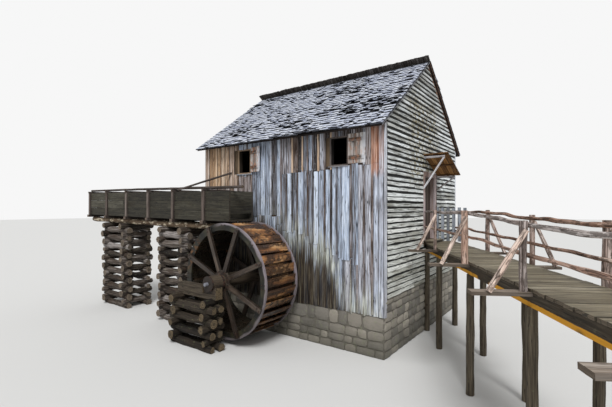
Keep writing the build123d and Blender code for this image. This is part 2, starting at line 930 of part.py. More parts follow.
def outrigger_blocks():
    """Planks let into the tops of the stringers, reaching out past the posts."""
    planks = []
    for s, t0, t1 in outrigger_places():
        planks.append(walk_block(s - outrigger_width / 2, s + outrigger_width / 2, t0, t1,
                                 deck_under - outrigger_thickness, deck_under))
    return planks


def walkway_stringers():
    notches = outrigger_blocks()
    stringers = []
    edges = ((deck_near_edge, s_at_x(deck_near_edge, 0) - past_wall),
             (deck_far_edge - stringer_width, s_at_y(deck_far_edge, deck_back_y)))
    for t, start in edges:
        bar = walk_block(start, run_end, t, t + stringer_width, stringer_bottom, deck_under)
        bar -= behind(0)
        for notch in notches:
            bar -= notch
        stringers.append(bar)
    return stringers


def post_row(places, radii, heights, t):
    posts = []
    for s, radius, height in zip(places, radii, heights):
        top = deck_height + height + post_above_rail
        foot = walk_point(s, t, deck_under)
        posts.append(hewn_pole(foot, walk_point(s, t, top), radius, across_walkway))
    return posts


def walkway_posts():
    posts = post_row(near_post_places, near_post_radii, near_rail_heights, 0)
    posts += post_row(far_post_places, far_post_radii, far_rail_heights, far_post_line)
    return posts


def rail_row(places, radii, heights, line, side, radius, first_s, first_height):
    """Rails lapped on the walkway side of the posts, one from post to post."""
    offsets = [line + side * (r + radius + seat_gap) for r in radii]
    knots = [(first_s, offsets[0], deck_height + first_height)]
    knots += [(s, t, deck_height + h) for s, t, h in zip(places, offsets, heights)]
    knots.append((places[-1] + deck_end_past, offsets[-1], deck_height + heights[-1]))
    rails = []
    for (s0, t0, z0), (s1, t1, z1) in zip(knots, knots[1:]):
        lead = 0 if s0 == first_s else rail_joint / 2
        start = walk_point(s0 + lead, t0, z0)
        end = walk_point(s1 - rail_joint / 2, t1, z1)
        rails.append(hewn_pole(start, end, radius, across_walkway))
    rails[0] -= behind(casing_thickness)
    return rails


def rails(near_heights, far_heights, radius):
    near_start = s_at_x(near_post_radii[0] + radius, 0) - past_wall
    far_start = s_at_y(far_post_line, deck_back_y) + far_rail_gap
    near = rail_row(near_post_places, near_post_radii, near_heights, 0, 1, radius,
                    near_start, near_heights[0])
    far = rail_row(far_post_places, far_post_radii, far_heights, far_post_line, -1, radius,
                   far_start, far_heights[0])
    return near + far


def top_rails():
    return rails(near_rail_heights, far_rail_heights, top_rail_radius)


def lower_rails():
    return rails(near_low_rail_heights, far_low_rail_heights, low_rail_radius)


def braces():
    """Poles that lean in from the outriggers and lap beside the posts."""
    legs = []
    rows = ((near_post_places, near_post_radii, near_rail_heights, 0, -1, near_brace_foot),
            (far_post_places, far_post_radii, far_rail_heights, far_post_line, 1, far_brace_foot))
    floor = block(-beyond, beyond, -beyond, beyond, 0, deck_under + seat_gap)
    for places, radii, heights, line, side, foot in rows:
        for s, radius, height in zip(places, radii, heights):
            beside = s + radius + brace_radius + seat_gap
            top_z = deck_height + height - brace_below_rail
            reach = foot + brace_radius
            drop = (top_z - deck_under) * brace_cut_share
            out = reach * (1 + brace_cut_share)
            start = walk_point(beside, line + side * out, deck_under - drop)
            head = walk_point(beside, line, top_z)
            legs.append(hewn_pole(start, head, brace_radius, along_walkway) - floor)
    return legs


def walkway_supports():
    """Round posts from the ground to the stringers."""
    supports = []
    near_t = deck_near_edge + stringer_width / 2
    far_t = deck_far_edge - stringer_width / 2
    near_s = [s_at_x(near_t, 0) + 2 * support_radius] + near_post_places
    far_s = [s_at_y(far_t, deck_back_y) + 2 * support_radius] + far_post_places
    for t, row in ((near_t, near_s), (far_t, far_s)):
        for s in row:
            foot, head = walk_point(s, t, 0), walk_point(s, t, stringer_bottom)
            supports.append(hewn_pole(foot, head, support_radius, along_walkway))
    return supports


def picket_guard():
    """A short picket fence across the deck's back edge beside the house."""
    pieces = []
    for z in (guard_rail_low, guard_rail_high):
        pieces.append(block(seat_gap, guard_length, 0, guard_rail_size,
                            deck_height + z, deck_height + z + guard_rail_size))
    for i in range(picket_count):
        x = seat_gap + i * picket_pitch
        pieces.append(block(x, x + picket_width, -picket_thickness, 0,
                            deck_height + seat_gap, deck_height + guard_height))
    return [Pos(0, deck_back_y - guard_rail_size, 0) * fused(pieces)]


nodes = {
    "foundation_front_back": foundation_front_back(),
    "foundation_ends": foundation_ends(),
    "front_wall": front_wall(),
    "back_wall": back_wall(),
    "left_gable_wall": left_gable_wall(),
    "right_wall_near": right_wall_near(),
    "right_wall_far": right_wall_far(),
    "right_wall_below_door": right_wall_below_door(),
    "right_gable": right_gable(),
    "main_floor": floor_slab(main_floor_height),
    "loft_floor": floor_slab(loft_floor_height),
    "roof_front_slope": roof_slope(-1),
    "roof_back_slope": roof_slope(1),
    "roof_comb": roof_comb(),
    "verge_boards": verge_boards(),
    "corner_boards": corner_boards(),
    "window_frames": window_frames(),
    "shutter_right": shutter_right(),
    "shutter_left": shutter_left(),
    "door_frame": door_frame(),
    "door_pins": door_pins(),
    "door_leaf": door_leaf(),
    "door_straps": door_straps(),
    "door_step": door_step(),
    "door_canopy": door_canopy(),
    "canopy_brackets": canopy_brackets(),
    "shroud_front": shroud(0),
    "shroud_rear": shroud(rear_shroud_start),
    "wheel_sole": wheel_sole(),
    "bucket_risers": round_the_wheel(bucket_boards()[0]),
    "bucket_lips": round_the_wheel(bucket_boards()[1]),
    "wheel_arms": wheel_arms(),
    "wheel_axle": wheel_axle(),
    "wheel_bearings": wheel_bearings(),
    "wheel_pier": wheel_pier(),
    "flume_sides": flume_sides(),
    "flume_bottom": flume_bottom(),
    "flume_end": flume_end(),
    "flume_posts": flume_posts(),
    "flume_ties": flume_ties(),
    "flume_bearers": flume_bearers(),
    "flume_beams": flume_beams(),
    "flume_rail_pole": flume_rail_pole(),
    "gate_lever": gate_lever(),
    "crib_near": crib_under_flume(near_crib_shares),
    "crib_far": crib_under_flume(far_crib_shares),
    "walkway_deck": walkway_deck(),
    "walkway_stringers": walkway_stringers(),
    "walkway_outriggers": outrigger_blocks(),
    "walkway_posts": walkway_posts(),
    "top_rails": top_rails(),
    "lower_rails": lower_rails(),
    "braces": braces(),
    "walkway_supports": walkway_supports(),
    "picket_guard": picket_guard(),
}

os.makedirs("parts", exist_ok=True)
for name, solids in nodes.items():
    shape = solids[0] if len(solids) == 1 else Compound(children=solids)
    export_step(shape, f"parts/{name}.step")
    print(name, len(solids))
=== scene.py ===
from math import atan, atan2, ceil, cos, hypot, pi, radians, sin, tan
from random import Random
import bmesh
import bpy
from mathutils import Matrix, Vector, noise


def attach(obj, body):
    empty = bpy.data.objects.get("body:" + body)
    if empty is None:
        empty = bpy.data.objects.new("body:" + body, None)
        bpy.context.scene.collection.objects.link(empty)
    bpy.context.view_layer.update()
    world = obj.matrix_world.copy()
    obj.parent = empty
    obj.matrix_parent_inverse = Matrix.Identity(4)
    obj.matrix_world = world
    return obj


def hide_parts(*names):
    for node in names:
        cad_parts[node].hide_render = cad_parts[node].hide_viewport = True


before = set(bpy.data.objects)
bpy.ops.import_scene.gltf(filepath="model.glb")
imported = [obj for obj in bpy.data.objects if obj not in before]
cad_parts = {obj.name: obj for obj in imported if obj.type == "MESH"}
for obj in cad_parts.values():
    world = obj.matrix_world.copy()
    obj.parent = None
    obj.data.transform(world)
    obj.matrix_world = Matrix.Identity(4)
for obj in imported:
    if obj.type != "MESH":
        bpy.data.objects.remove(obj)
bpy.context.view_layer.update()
print("stage: frame loaded,", len(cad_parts), "nodes")

right, back, up = Vector((1, 0, 0)), Vector((0, 1, 0)), Vector((0, 0, 1))


# Node trees written as sums
class Wire:  # a socket that can stand in a Python sum
    def __init__(self, plan, socket):
        self.plan, self.socket = plan, socket

    def __add__(self, other):
        return self.plan.reckon("ADD", self, other)

    def __radd__(self, other):
        return self.plan.reckon("ADD", other, self)

    def __sub__(self, other):
        return self.plan.reckon("SUBTRACT", self, other)

    def __rsub__(self, other):
        return self.plan.reckon("SUBTRACT", other, self)

    def __mul__(self, other):
        return self.plan.reckon("MULTIPLY", self, other)

    def __rmul__(self, other):
        return self.plan.reckon("MULTIPLY", other, self)

    def __truediv__(self, other):
        return self.plan.reckon("DIVIDE", self, other)

    def __rtruediv__(self, other):
        return self.plan.reckon("DIVIDE", other, self)

    def size(self):  # without its sign
        return self.plan.reckon("ABSOLUTE", self)

    def part(self, axis):
        return self.plan.node("ShaderNodeSeparateXYZ", sockets={0: self}, out=axis)


class Plan:  # a shader or geometry tree drawn up in Python
    def __init__(self, tree):
        self.tree = tree

    def node(self, kind, settings=None, sockets=None, out=0):
        made = self.tree.nodes.new(kind)
        for key, value in (settings or {}).items():
            if key == "stops":
                stops = made.color_ramp.elements
                while len(stops) < len(value):
                    stops.new(0.5)
                for stop, (spot, colour) in zip(stops, value):
                    stop.position, stop.color = spot, colour
            else:
                setattr(made, key, value)
        for key, value in (sockets or {}).items():
            if isinstance(value, Wire):
                self.tree.links.new(value.socket, made.inputs[key])
            else:
                made.inputs[key].default_value = value
        return Wire(self, made.outputs[out])

    def reckon(self, operation, *terms):
        def isVector(term):
            if isinstance(term, Wire):
                return term.socket.type in ("VECTOR", "RGBA")
            return isinstance(term, tuple)

        kind = "ShaderNodeMath"
        if any(isVector(term) for term in terms):
            terms = [(t, t, t) if isinstance(t, (int, float)) else t for t in terms]
            kind = "ShaderNodeVectorMath"
        return self.node(kind, {"operation": operation}, dict(enumerate(terms)))

    def join(self, x, y, z):
        return self.node("ShaderNodeCombineXYZ", sockets={0: x, 1: y, 2: z})

    def grainNoise(self, at, stretch, detail=3.0, rough=0.55):  # stretch is one number or one for each axis
        return self.node("ShaderNodeTexNoise", sockets={
            "Vector": at * stretch, "Scale": 1.0, "Detail": detail, "Roughness": rough})

    def rise(self, value, low, high, fromZero=0.0, toOne=1.0):  # a soft step between two values
        return self.node("ShaderNodeMapRange", {"interpolation_type": "SMOOTHSTEP"}, {
            0: value, 1: low, 2: high, 3: fromZero, 4: toOne})

    def patches(self, at, stretch, low, high, detail=3.0, rough=0.55):  # noise cut into soft-edged patches
        return self.rise(self.grainNoise(at, stretch, detail, rough), low, high)

    def ramp(self, value, stops):
        return self.node("ShaderNodeValToRGB", {"stops": stops}, {0: value})

    def grade(self, value, colours):  # a ramp through evenly spaced colours, the darkest first
        return self.ramp(value, [(i / (len(colours) - 1), paint(*c)) for i, c in enumerate(colours)])

    def blend(self, amount, colourA, colourB):
        return self.node("ShaderNodeMix", {"data_type": "RGBA"}, {0: amount, 6: colourA, 7: colourB}, 2)

    def named(self, name, out="Fac"):
        return self.node("ShaderNodeAttribute", {"attribute_name": name}, out=out)


def paint(red, green, blue):  # a colour as it is seen, 0 to 255, made linear
    def linear(level):
        level /= 255
        return level / 12.92 if level <= 0.04045 else ((level + 0.055) / 1.055) ** 2.4

    return (linear(red), linear(green), linear(blue), 1.0)


# Finishes
def startFinish(name):  # a new material, its plan and the point of the object that is being coloured
    material = bpy.data.materials.new(name)
    material.use_nodes = True
    plan = Plan(material.node_tree)
    return material, plan, plan.node("ShaderNodeTexCoord", out="Object")


def closeFinish(plan, colour, rough, height, bump, depth, metal=None):
    shader = plan.tree.nodes["Principled BSDF"]
    normal = plan.node("ShaderNodeBump", {}, {"Strength": bump, "Distance": depth, "Height": height})
    sockets = {"Base Color": colour, "Roughness": rough, "Metallic": metal, "Normal": normal}
    for socket, value in sockets.items():
        if value is not None:
            plan.tree.links.new(value.socket, shader.inputs[socket])
    return shader


woodGrain = {  # each noise: stretch per metre across, along and through a board, then detail and roughness
    "streak": ((34.0, 1.5, 34.0), 4.0, 0.6), "fibre": ((210.0, 7.0, 210.0), 2.0, 0.55),
    "split": ((26.0, 0.9, 26.0), 1.5, 0.4), "stain": ((2.6, 1.1, 2.6), 3.0, 0.55),
    "fleck": ((19.0, 13.0, 19.0), 3.0, 0.7)}
woodRelief = {"fibre": 0.22, "streak": 0.5, "split": 0.8, "depth": 0.006}
plainLook = {  # what a wood finish has where it doesn't say otherwise
    "streak": 1.8, "stained": 0.35, "flecked": 0.3, "split": 0.75, "splitWidth": 0.022,
    "rough": 0.82, "shine": 0.3, "bump": 0.7, "patch": (2.1, 0.3, 2.1)}
sawnEnd = {"heart": 2.6, "ring": (17.0, 1.0, 1.0), "crack": (2.2, 1.0, 1.0), "dim": 0.55}


def endGrain(plan, at, spot, look):  # yearly rings round the heart, and drying cracks
    heart = 0.0 if "round" in look else sawnEnd["heart"]
    x, z, along = spot.part(0), spot.part(2) + heart, at.part(1)
    out = plan.reckon("SQRT", x * x + z * z)
    ring = plan.grainNoise(plan.join(out, along * 0.2, along * 0.3), sawnEnd["ring"], 2.0, 0.6)
    turn = plan.reckon("ARCTAN2", x, z)
    crack = plan.grainNoise(plan.join(turn, out * 0.4, along), sawnEnd["crack"], 1.0, 0.5) - 0.5
    crack = 1 - plan.rise(crack.size(), 0.004, 0.022)
    dim = paint(*[c * sawnEnd["dim"] for c in look["end"]])
    colour = plan.blend(plan.rise(ring, 0.36, 0.66), dim, paint(*look["end"]))
    return plan.blend(crack * 0.85, colour, paint(*look["dark"]))


def woodFinish(name, ownLook, weather=None):
    look = {**plainLook, **ownLook}
    material, plan, place = startFinish(name)
    if "along" in look:  # a solid with no boards of its own: its grain follows one axis
        order = {"x": (1, 0, 2), "y": (0, 1, 2), "z": (0, 2, 1)}[look["along"]]
        at = plan.join(*[place.part(axis) for axis in order])
        tone = plan.patches(at, look["patch"], 0.3, 0.7, 1.0)
    elif "rings" in look:  # a solid whose grain goes round an axis along Y
        middleX, middleZ = look["rings"]
        x, z = place.part(0) - middleX, place.part(2) - middleZ
        turn = plan.reckon("ARCTAN2", x, z)
        at = plan.join(plan.reckon("SQRT", x * x + z * z), turn * 1.5, place.part(1))
        tone = plan.patches(plan.join(turn, 0.0, 0.0), (5.1, 1, 1), 0.3, 0.7, 0.0)
    else:
        at, tone, spot = plan.named("grain", "Vector"), plan.named("tone"), plan.named("at", "Vector")
    streak, fibre, split, stain, fleck = [plan.grainNoise(at, *setting) for setting in woodGrain.values()]
    split = 1 - plan.rise((split - 0.5).size(), 0.004, look["splitWidth"])
    shade = tone + (streak - 0.5) * look["streak"]
    colour = plan.grade(shade, look["colours"])
    if "warm" in look:
        colour = plan.blend(plan.named("warm"), colour, plan.grade(shade, look["warm"]))
    colour = plan.blend(plan.rise(stain, 0.5, 0.68) * look["stained"], colour, paint(*look["stain"]))
    colour = plan.blend(plan.rise(fleck, 0.6, 0.7) * look["flecked"], colour, paint(*look["fleck"]))
    colour = colour * (0.66 + fibre * 0.68)
    dark = paint(*look["dark"])
    colour = plan.blend(split * look["split"], colour, dark)
    if "edge" in look:  # dirt along a board's two long edges
        amount, width = look["edge"]
        colour = plan.blend((1 - plan.rise(0.5 - spot.part(0).size(), 0.0, width)) * amount, colour, dark)
    if "lap" in look:  # painted shade and dirt under the lap of the next board
        axis, sign, shadeStart, shadeFull, amount = look["lap"]
        under = plan.rise(spot.part(axis) * sign + (streak - 0.5) * 0.25, shadeStart, shadeFull)
        colour = plan.blend(under * amount, colour, dark)
    if "end" in look:
        colour = plan.blend(plan.named("cut") * 0.92, colour, endGrain(plan, at, spot, look))
    rough = look["rough"] + (streak - 0.5) * 0.2
    if weather:
        colour, rough = weather(plan, place, at, colour, rough)
    height = fibre * woodRelief["fibre"] + streak * woodRelief["streak"] - split * woodRelief["split"]
    shader = closeFinish(plan, colour, rough, height, look["bump"], woodRelief["depth"])
    shader.inputs["Specular IOR Level"].default_value = look["shine"]
    return material


# Boards, logs and stones, laid from a cutting list
def cuttingTree(shape):
    tree = bpy.data.node_groups.new("lay " + shape, "GeometryNodeTree")
    face = tree.interface
    face.new_socket("Places", in_out="INPUT", socket_type="NodeSocketGeometry")
    for title in ("Along", "Across"):
        face.new_socket(title, in_out="INPUT", socket_type="NodeSocketInt")
    for title in ("Bow", "Warp", "Wane", "Rag", "Round", "Seed"):
        face.new_socket(title, in_out="INPUT", socket_type="NodeSocketFloat")
    face.new_socket("Finish", in_out="INPUT", socket_type="NodeSocketMaterial")
    face.new_socket("Pieces", in_out="OUTPUT", socket_type="NodeSocketGeometry")
    plan = Plan(tree)
    given = tree.nodes.new("NodeGroupInput")
    taken = {socket.name: Wire(plan, socket) for socket in given.outputs if socket.name}

    def attribute(name, kind="FLOAT"):
        return plan.node("GeometryNodeInputNamedAttribute", {"data_type": kind}, {"Name": name})

    def store(geometry, name, value, kind="FLOAT", domain="POINT"):
        return plan.node("GeometryNodeStoreNamedAttribute", {"data_type": kind, "domain": domain},
                         {"Geometry": geometry, "Name": name, "Value": value})

    if shape == "log":
        tube = plan.node("GeometryNodeMeshCylinder", {"fill_type": "NGON"}, {
            "Vertices": taken["Across"], "Side Segments": taken["Along"], "Radius": 0.5, "Depth": 1.0})
        blank = plan.node("GeometryNodeTransform", {}, {"Geometry": tube, "Rotation": (-pi / 2, 0, 0)})
    else:
        deep = taken["Across"] if shape == "stone" else 2
        blank = plan.node("GeometryNodeMeshCube", {}, {
            "Size": (1, 1, 1), "Vertices X": taken["Across"], "Vertices Y": taken["Along"],
            "Vertices Z": deep})
    blank = store(blank, "at", plan.node("GeometryNodeInputPosition"), "FLOAT_VECTOR")
    faceOut = plan.node("GeometryNodeInputNormal")
    blank = store(blank, "cut", plan.rise(faceOut.part(1).size(), 0.85, 0.9), domain="FACE")
    turn = plan.node("FunctionNodeEulerToRotation", {}, {0: attribute("turn", "FLOAT_VECTOR")})
    laid = plan.node("GeometryNodeInstanceOnPoints", {}, {
        "Points": taken["Places"], "Instance": blank, "Rotation": turn,
        "Scale": attribute("size", "FLOAT_VECTOR")})
    laid = plan.node("GeometryNodeRealizeInstances", {}, {"Geometry": laid})

    at, size = attribute("at", "FLOAT_VECTOR"), attribute("size", "FLOAT_VECTOR")
    stray = attribute("stray") * 61.0 + taken["Seed"]
    grain = at * size + plan.join(stray, stray * 1.37, stray * 0.61)
    laid = store(laid, "grain", grain, "FLOAT_VECTOR")
    x, y = at.part(0), at.part(1)
    across = plan.grainNoise(grain, (3.1, 1.7, 3.1), 2.0) - 0.5
    along = plan.grainNoise(grain, (13.0, 2.0, 13.0), 2.0) - 0.5
    aside = plan.grainNoise(grain + (7.7, 3.1, 0.0), (0.3, 0.8, 0.3), 1.0) - 0.5
    above = plan.grainNoise(grain + (1.9, 8.3, 0.0), (0.3, 0.9, 0.3), 1.0) - 0.5
    free = 1 - 4 * y * y  # 1 in the middle of a board, 0 at its ends
    low = 0.5 - y
    taper = 1 + attribute("taper") * y
    if shape == "stone":
        length = plan.node("ShaderNodeVectorMath", {"operation": "LENGTH"}, {0: at}, "Value")
        rounded = at * (0.62 / length) - at
        lumps = plan.grainNoise(grain, 5.0, 2.0) - 0.5
        shift = (rounded * taken["Round"] + at * lumps * taken["Warp"]) * size
    else:
        swell = across * 2 * taken["Wane"]
        if shape == "log":
            sideX = x * swell * 2 + x * (taper - 1) * size.part(0)
            sideZ = at.part(2) * (swell * 2 + (taper - 1) * size.part(2))
        else:
            sideX = x * 2 * swell + x * (taper - 1) * size.part(0)
            sideZ = above * taken["Warp"] + across * x * taken["Warp"]
        bowed = free * taken["Bow"] * 4
        shift = plan.join(sideX + aside * bowed, y * 2 * along * taken["Rag"] * 2,
                          sideZ + above * bowed + attribute("lift") * low * low)
    turn = plan.node("FunctionNodeEulerToRotation", {}, {0: attribute("turn", "FLOAT_VECTOR")})
    shift = plan.node("FunctionNodeRotateVector", {}, {0: shift, 1: turn})
    laid = plan.node("GeometryNodeSetPosition", {}, {"Geometry": laid, "Offset": shift})
    laid = plan.node("GeometryNodeSetMaterial", {}, {"Geometry": laid, "Material": taken["Finish"]})
    tree.links.new(laid.socket, tree.nodes.new("NodeGroupOutput").inputs[0])
    return tree


trees = {shape: cuttingTree(shape) for shape in ("board", "log", "stone")}
plainCuts = {"along": 6, "across": 2, "bow": 0.0, "warp": 0.0, "wane": 0.0, "rag": 0.0, "round": 0.0,
             "seed": 1.0}  # how often a piece is cut, and how far it strays from straight


def facing(across, along):  # the turn that takes local x and y to two directions
    across, along = Vector(across).normalized(), Vector(along).normalized()
    out = across.cross(along).normalized()
    return Matrix((across, along, out)).transposed()


def item(centre, turn, size, tone=0.5, lift=0.0, taper=0.0, stray=0.0, warm=0.0):
    return {"centre": Vector(centre), "turn": turn, "size": size, "tone": tone, "lift": lift,
            "taper": taper, "stray": stray, "warm": warm}


def pole(start, end, radius, tone=0.5, taper=0.0, stray=0.0, past=0.0, warm=0.0):
    start, end = Vector(start), Vector(end)
    run = end - start
    aside = run.cross(up) if abs(run.normalized().z) < 0.9 else run.cross(right)
    return item((start + end) / 2, facing(aside, run), (2 * radius, run.length + past, 2 * radius), tone,
                taper=taper, stray=stray, warm=warm)


def lay(name, shape, items, cuts, look, replaces=(), trims=(), body="mill"):
    pegs = bpy.data.meshes.new(name)
    pegs.from_pydata([i["centre"] for i in items], [], [])
    columns = {"turn": [v for i in items for v in i["turn"].to_euler()],
               "size": [v for i in items for v in i["size"]]}
    for key, values in columns.items():
        pegs.attributes.new(key, "FLOAT_VECTOR", "POINT").data.foreach_set("vector", values)
    for key in ("tone", "lift", "taper", "stray", "warm"):
        column = pegs.attributes.new(key, "FLOAT", "POINT")
        column.data.foreach_set("value", [i[key] for i in items])
    holder = bpy.data.objects.new(name + " list", pegs)
    bpy.context.scene.collection.objects.link(holder)
    modifier = holder.modifiers.new("lay", "NODES")
    modifier.node_group = trees[shape]
    wanted = {**plainCuts, **cuts, "finish": finish[look]}
    for socket in trees[shape].interface.items_tree:
        if socket.in_out == "INPUT" and socket.name.lower() in wanted:
            modifier[socket.identifier] = wanted[socket.name.lower()]
    graph = bpy.context.evaluated_depsgraph_get()
    mesh = bpy.data.meshes.new_from_object(holder.evaluated_get(graph))
    bpy.data.objects.remove(holder)
    bpy.data.meshes.remove(pegs)
    for spare in ("size", "turn", "lift", "taper", "stray"):
        if spare in mesh.attributes:
            mesh.attributes.remove(mesh.attributes[spare])
    mesh.name = name
    trimMesh(mesh, trims)
    rideAs(name, mesh, body, replaces)
    print("  laid", name, len(items), "pieces,", len(mesh.polygons), "faces")


def rideAs(name, mesh, body, replaces=()):
    piece = bpy.data.objects.new(name, mesh)
    bpy.context.scene.collection.objects.link(piece)
    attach(piece, body)
    if replaces:
        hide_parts(*replaces)


def trimMesh(mesh, trims):  # saws off what lies past each plane and closes the cut
    if not trims:
        return
    work = bmesh.new()
    work.from_mesh(mesh)
    for point, normal in trims:
        geometry = work.verts[:] + work.edges[:] + work.faces[:]
        cut = bmesh.ops.bisect_plane(work, geom=geometry, dist=1e-5, plane_co=point, plane_no=normal,
                                     clear_outer=True)["geom_cut"]
        edges = [e for e in cut if isinstance(e, bmesh.types.BMEdge) and e.is_boundary]
        bmesh.ops.holes_fill(work, edges=edges, sides=0)
    work.to_mesh(mesh)
    work.free()


def rest(look, *names):  # solids whose own shape is right take a finish in every slot
    for name in names:
        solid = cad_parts[name]
        if not solid.data.materials:
            solid.data.materials.append(finish[look])
        for slot in solid.material_slots:
            slot.material = finish[look]


# How weather and wear change a finish
wheelCentre = (-3.912, 1.680)
ridgeLine = (3.03, 3.05)  # front slope this side of it, back slope beyond
soaking = {"tallest": 4.0, "wallWidth": 6.6, "heights": (
    (0.0, 3.3), (0.40, 3.3), (0.50, 3.0), (0.565, 2.66), (0.67, 2.42), (0.74, 2.2), (0.79, 1.8),
    (0.82, 1.2), (0.88, 0.9), (1.0, 0.7))}  # how high the wall is wet, from its left end to its right


def splashed(plan, place, at, colour, rough):  # the long wall, soaked round the wheel
    x, z, tallest = place.part(0), place.part(2), soaking["tallest"]
    line = plan.ramp(x / soaking["wallWidth"] + 1,
                     [(share, (high / tallest,) * 3 + (1,)) for share, high in soaking["heights"]])
    ragged = plan.grainNoise(place, (19.0, 19.0, 0.6), 3.0, 0.7) - 0.5
    run = plan.patches(place, (30.0, 30.0, 1.2), 0.33, 0.67, 4.0, 0.65)
    soaked = line.part(0) * tallest + ragged * 1.7 + (run - 0.5) * 0.5 - z
    wet = plan.rise(soaked, -0.15, 0.3)
    moss = plan.rise(soaked, -0.95, -0.12) * (1 - wet) * plan.rise(x, -3.5, -2.9, 0.15, 1.0)
    broad = plan.patches(place, (2.0, 2.0, 1.1), 0.38, 0.62, 2.0)
    mossy = plan.grade(run, [(74, 70, 58), (140, 142, 128), (196, 200, 190), (230, 232, 226)])
    soggy = plan.grade(run, [(18, 15, 12), (36, 29, 22), (60, 50, 38), (104, 96, 78)])
    colour = plan.blend(moss * (0.35 + broad * 0.55), colour, mossy)
    colour = plan.blend(wet * 0.95, colour, soggy)
    corner = plan.rise(x, -0.335, -0.325) * plan.rise(x, -0.136, -0.132, 1.0, 0.5)
    strip = corner * plan.rise(z + ragged * 0.5, 4.35, 4.60)  # a newer board beside the corner
    fresh = plan.grade(run, [(120, 72, 48), (182, 126, 98), (204, 158, 136), (214, 184, 170)])
    return plan.blend(strip * (0.4 + broad * 0.5), colour, fresh), rough - wet * 0.3


def dampFoot(plan, place, at, colour, rough):  # darker at the foot, browner near the ridge
    z = place.part(2)
    foot = 1 - plan.rise(z + plan.grainNoise(place, 1.3), 1.6, 3.2)
    high = plan.rise(z + plan.grainNoise(place, (0.9, 0.9, 2.0)), 6.2, 8.2)
    colour = plan.blend(foot * 0.35, colour, paint(104, 102, 82))
    return plan.blend(high * 0.25, colour, paint(88, 84, 76)), rough


def lappedRows(plan, place, at, colour, rough):  # shade under each lap, lichen in the middle, a damp foot
    across, y, z = plan.named("at", "Vector").part(0), place.part(1), place.part(2)
    wander = plan.grainNoise(place, (1.1, 1.1, 7.0), 3.0, 0.6) - 0.5
    shade = wander * 0.34 - across + plan.rise(z, 1.6, 6.6) * 0.16
    colour, rough = dampFoot(plan, place, at, colour, rough)
    middle = plan.rise(y, 1.0, 2.0) * plan.rise(y, 4.4, 3.4) * plan.rise(z, 3.9, 4.6) * plan.rise(z, 7.2, 6.4)
    lichen = plan.patches(place, (6.0, 6.0, 11.0), 0.47, 0.55, 4.0, 0.7)
    colour = plan.blend(middle * lichen * 0.8, colour, paint(122, 110, 74))
    low = plan.rise(z, 4.6, 2.6)
    colour = plan.blend(low * 0.3, colour, colour * (0.97, 0.92, 0.74))
    return plan.blend(plan.rise(shade, 0.035, 0.115) * 0.98, colour, paint(13, 12, 11)), rough


def rakeEdge(plan, place, at, colour, rough):  # pale up the front slope, reddish brown down the back one
    edge, behind = plan.rise(place.part(0), 0.080, 0.088), plan.rise(place.part(1), *ridgeLine)
    colour = plan.blend(edge * behind * 0.8, colour, paint(112, 82, 66))
    return plan.blend(edge * (1 - behind) * 0.75, colour, paint(142, 144, 152)), rough


def shadedVerge(plan, place, at, colour, rough):  # greyer up the front slope
    front = 1 - plan.rise(place.part(1), *ridgeLine)
    return plan.blend(front * 0.8, colour, paint(44, 43, 43)), rough


def darkReveal(plan, place, at, colour, rough):  # painted shade deep in the reveal, and a sunlit tan round the left window
    streaks = plan.grainNoise(place, (40.0, 40.0, 1.6))
    grain = plan.grade(streaks, [(104, 84, 68), (150, 126, 102), (182, 158, 130)])
    colour = plan.blend(plan.rise(place.part(0), -2.9, -3.0) * 0.9, colour, grain)
    # painted shade: near black further than 3 cm into the reveal
    return plan.blend(plan.rise(place.part(1), 0.0, 0.03) * 0.92, colour, paint(20, 18, 17)), rough


def tannedCorner(plan, place, at, colour, rough):  # the left corners have kept their tan
    streaks = plan.grainNoise(place, (46.0, 46.0, 1.4))
    grain = plan.grade(streaks, [(92, 72, 52), (144, 116, 86), (188, 160, 124)])
    return plan.blend(plan.rise(place.part(0), -6.1, -6.2) * 0.85, colour, grain), rough


def sunnyShutter(plan, place, at, colour, rough):  # rusty blotches, and bleached towards the free edge
    x = place.part(0)
    blotch = plan.patches(place, (15.0, 15.0, 9.0), 0.53, 0.60, 3.0, 0.6)
    colour = plan.blend(blotch * plan.rise(x, -3.4, -3.3, 0.75, 0.35), colour, paint(186, 122, 86))
    free = plan.rise(x, -0.62, -0.53) + plan.rise(x, -4.08, -3.99) * (1 - plan.rise(x, -3.4, -3.3))
    bare = plan.patches(place, (14.0, 14.0, 5.0), 0.36, 0.5, 3.0, 0.6)
    return plan.blend(free * bare * 0.75, colour, paint(216, 219, 226)), rough


def bleachedPatches(plan, place, at, colour, rough):  # bark gone in places, bare pale wood
    bare = plan.patches(place, (3.2, 9.0, 9.0), 0.53, 0.6, 3.0, 0.6)
    return plan.blend(bare * 0.8, colour, paint(208, 196, 172)), rough


def peeledBark(plan, place, at, colour, rough):  # flakes of dark bark left on the peeled poles
    flakes = plan.patches(at, (17.0, 4.2, 17.0), 0.50, 0.54, 4.0, 0.68)
    ribs = plan.grainNoise(at, (90.0, 14.0, 90.0), 3.0, 0.6)
    bark = plan.grade(ribs, [(26, 20, 16), (58, 46, 38), (98, 82, 70)])
    return plan.blend(flakes * 0.62, colour, bark), rough + flakes * 0.05


def aboutWheel(plan, place):  # how far a point lies from the wheel's axis, at what turn, how far aside
    x, z = place.part(0) - wheelCentre[0], place.part(2) - wheelCentre[1]
    return plan.reckon("SQRT", x * x + z * z), plan.reckon("ARCTAN2", x, z), x


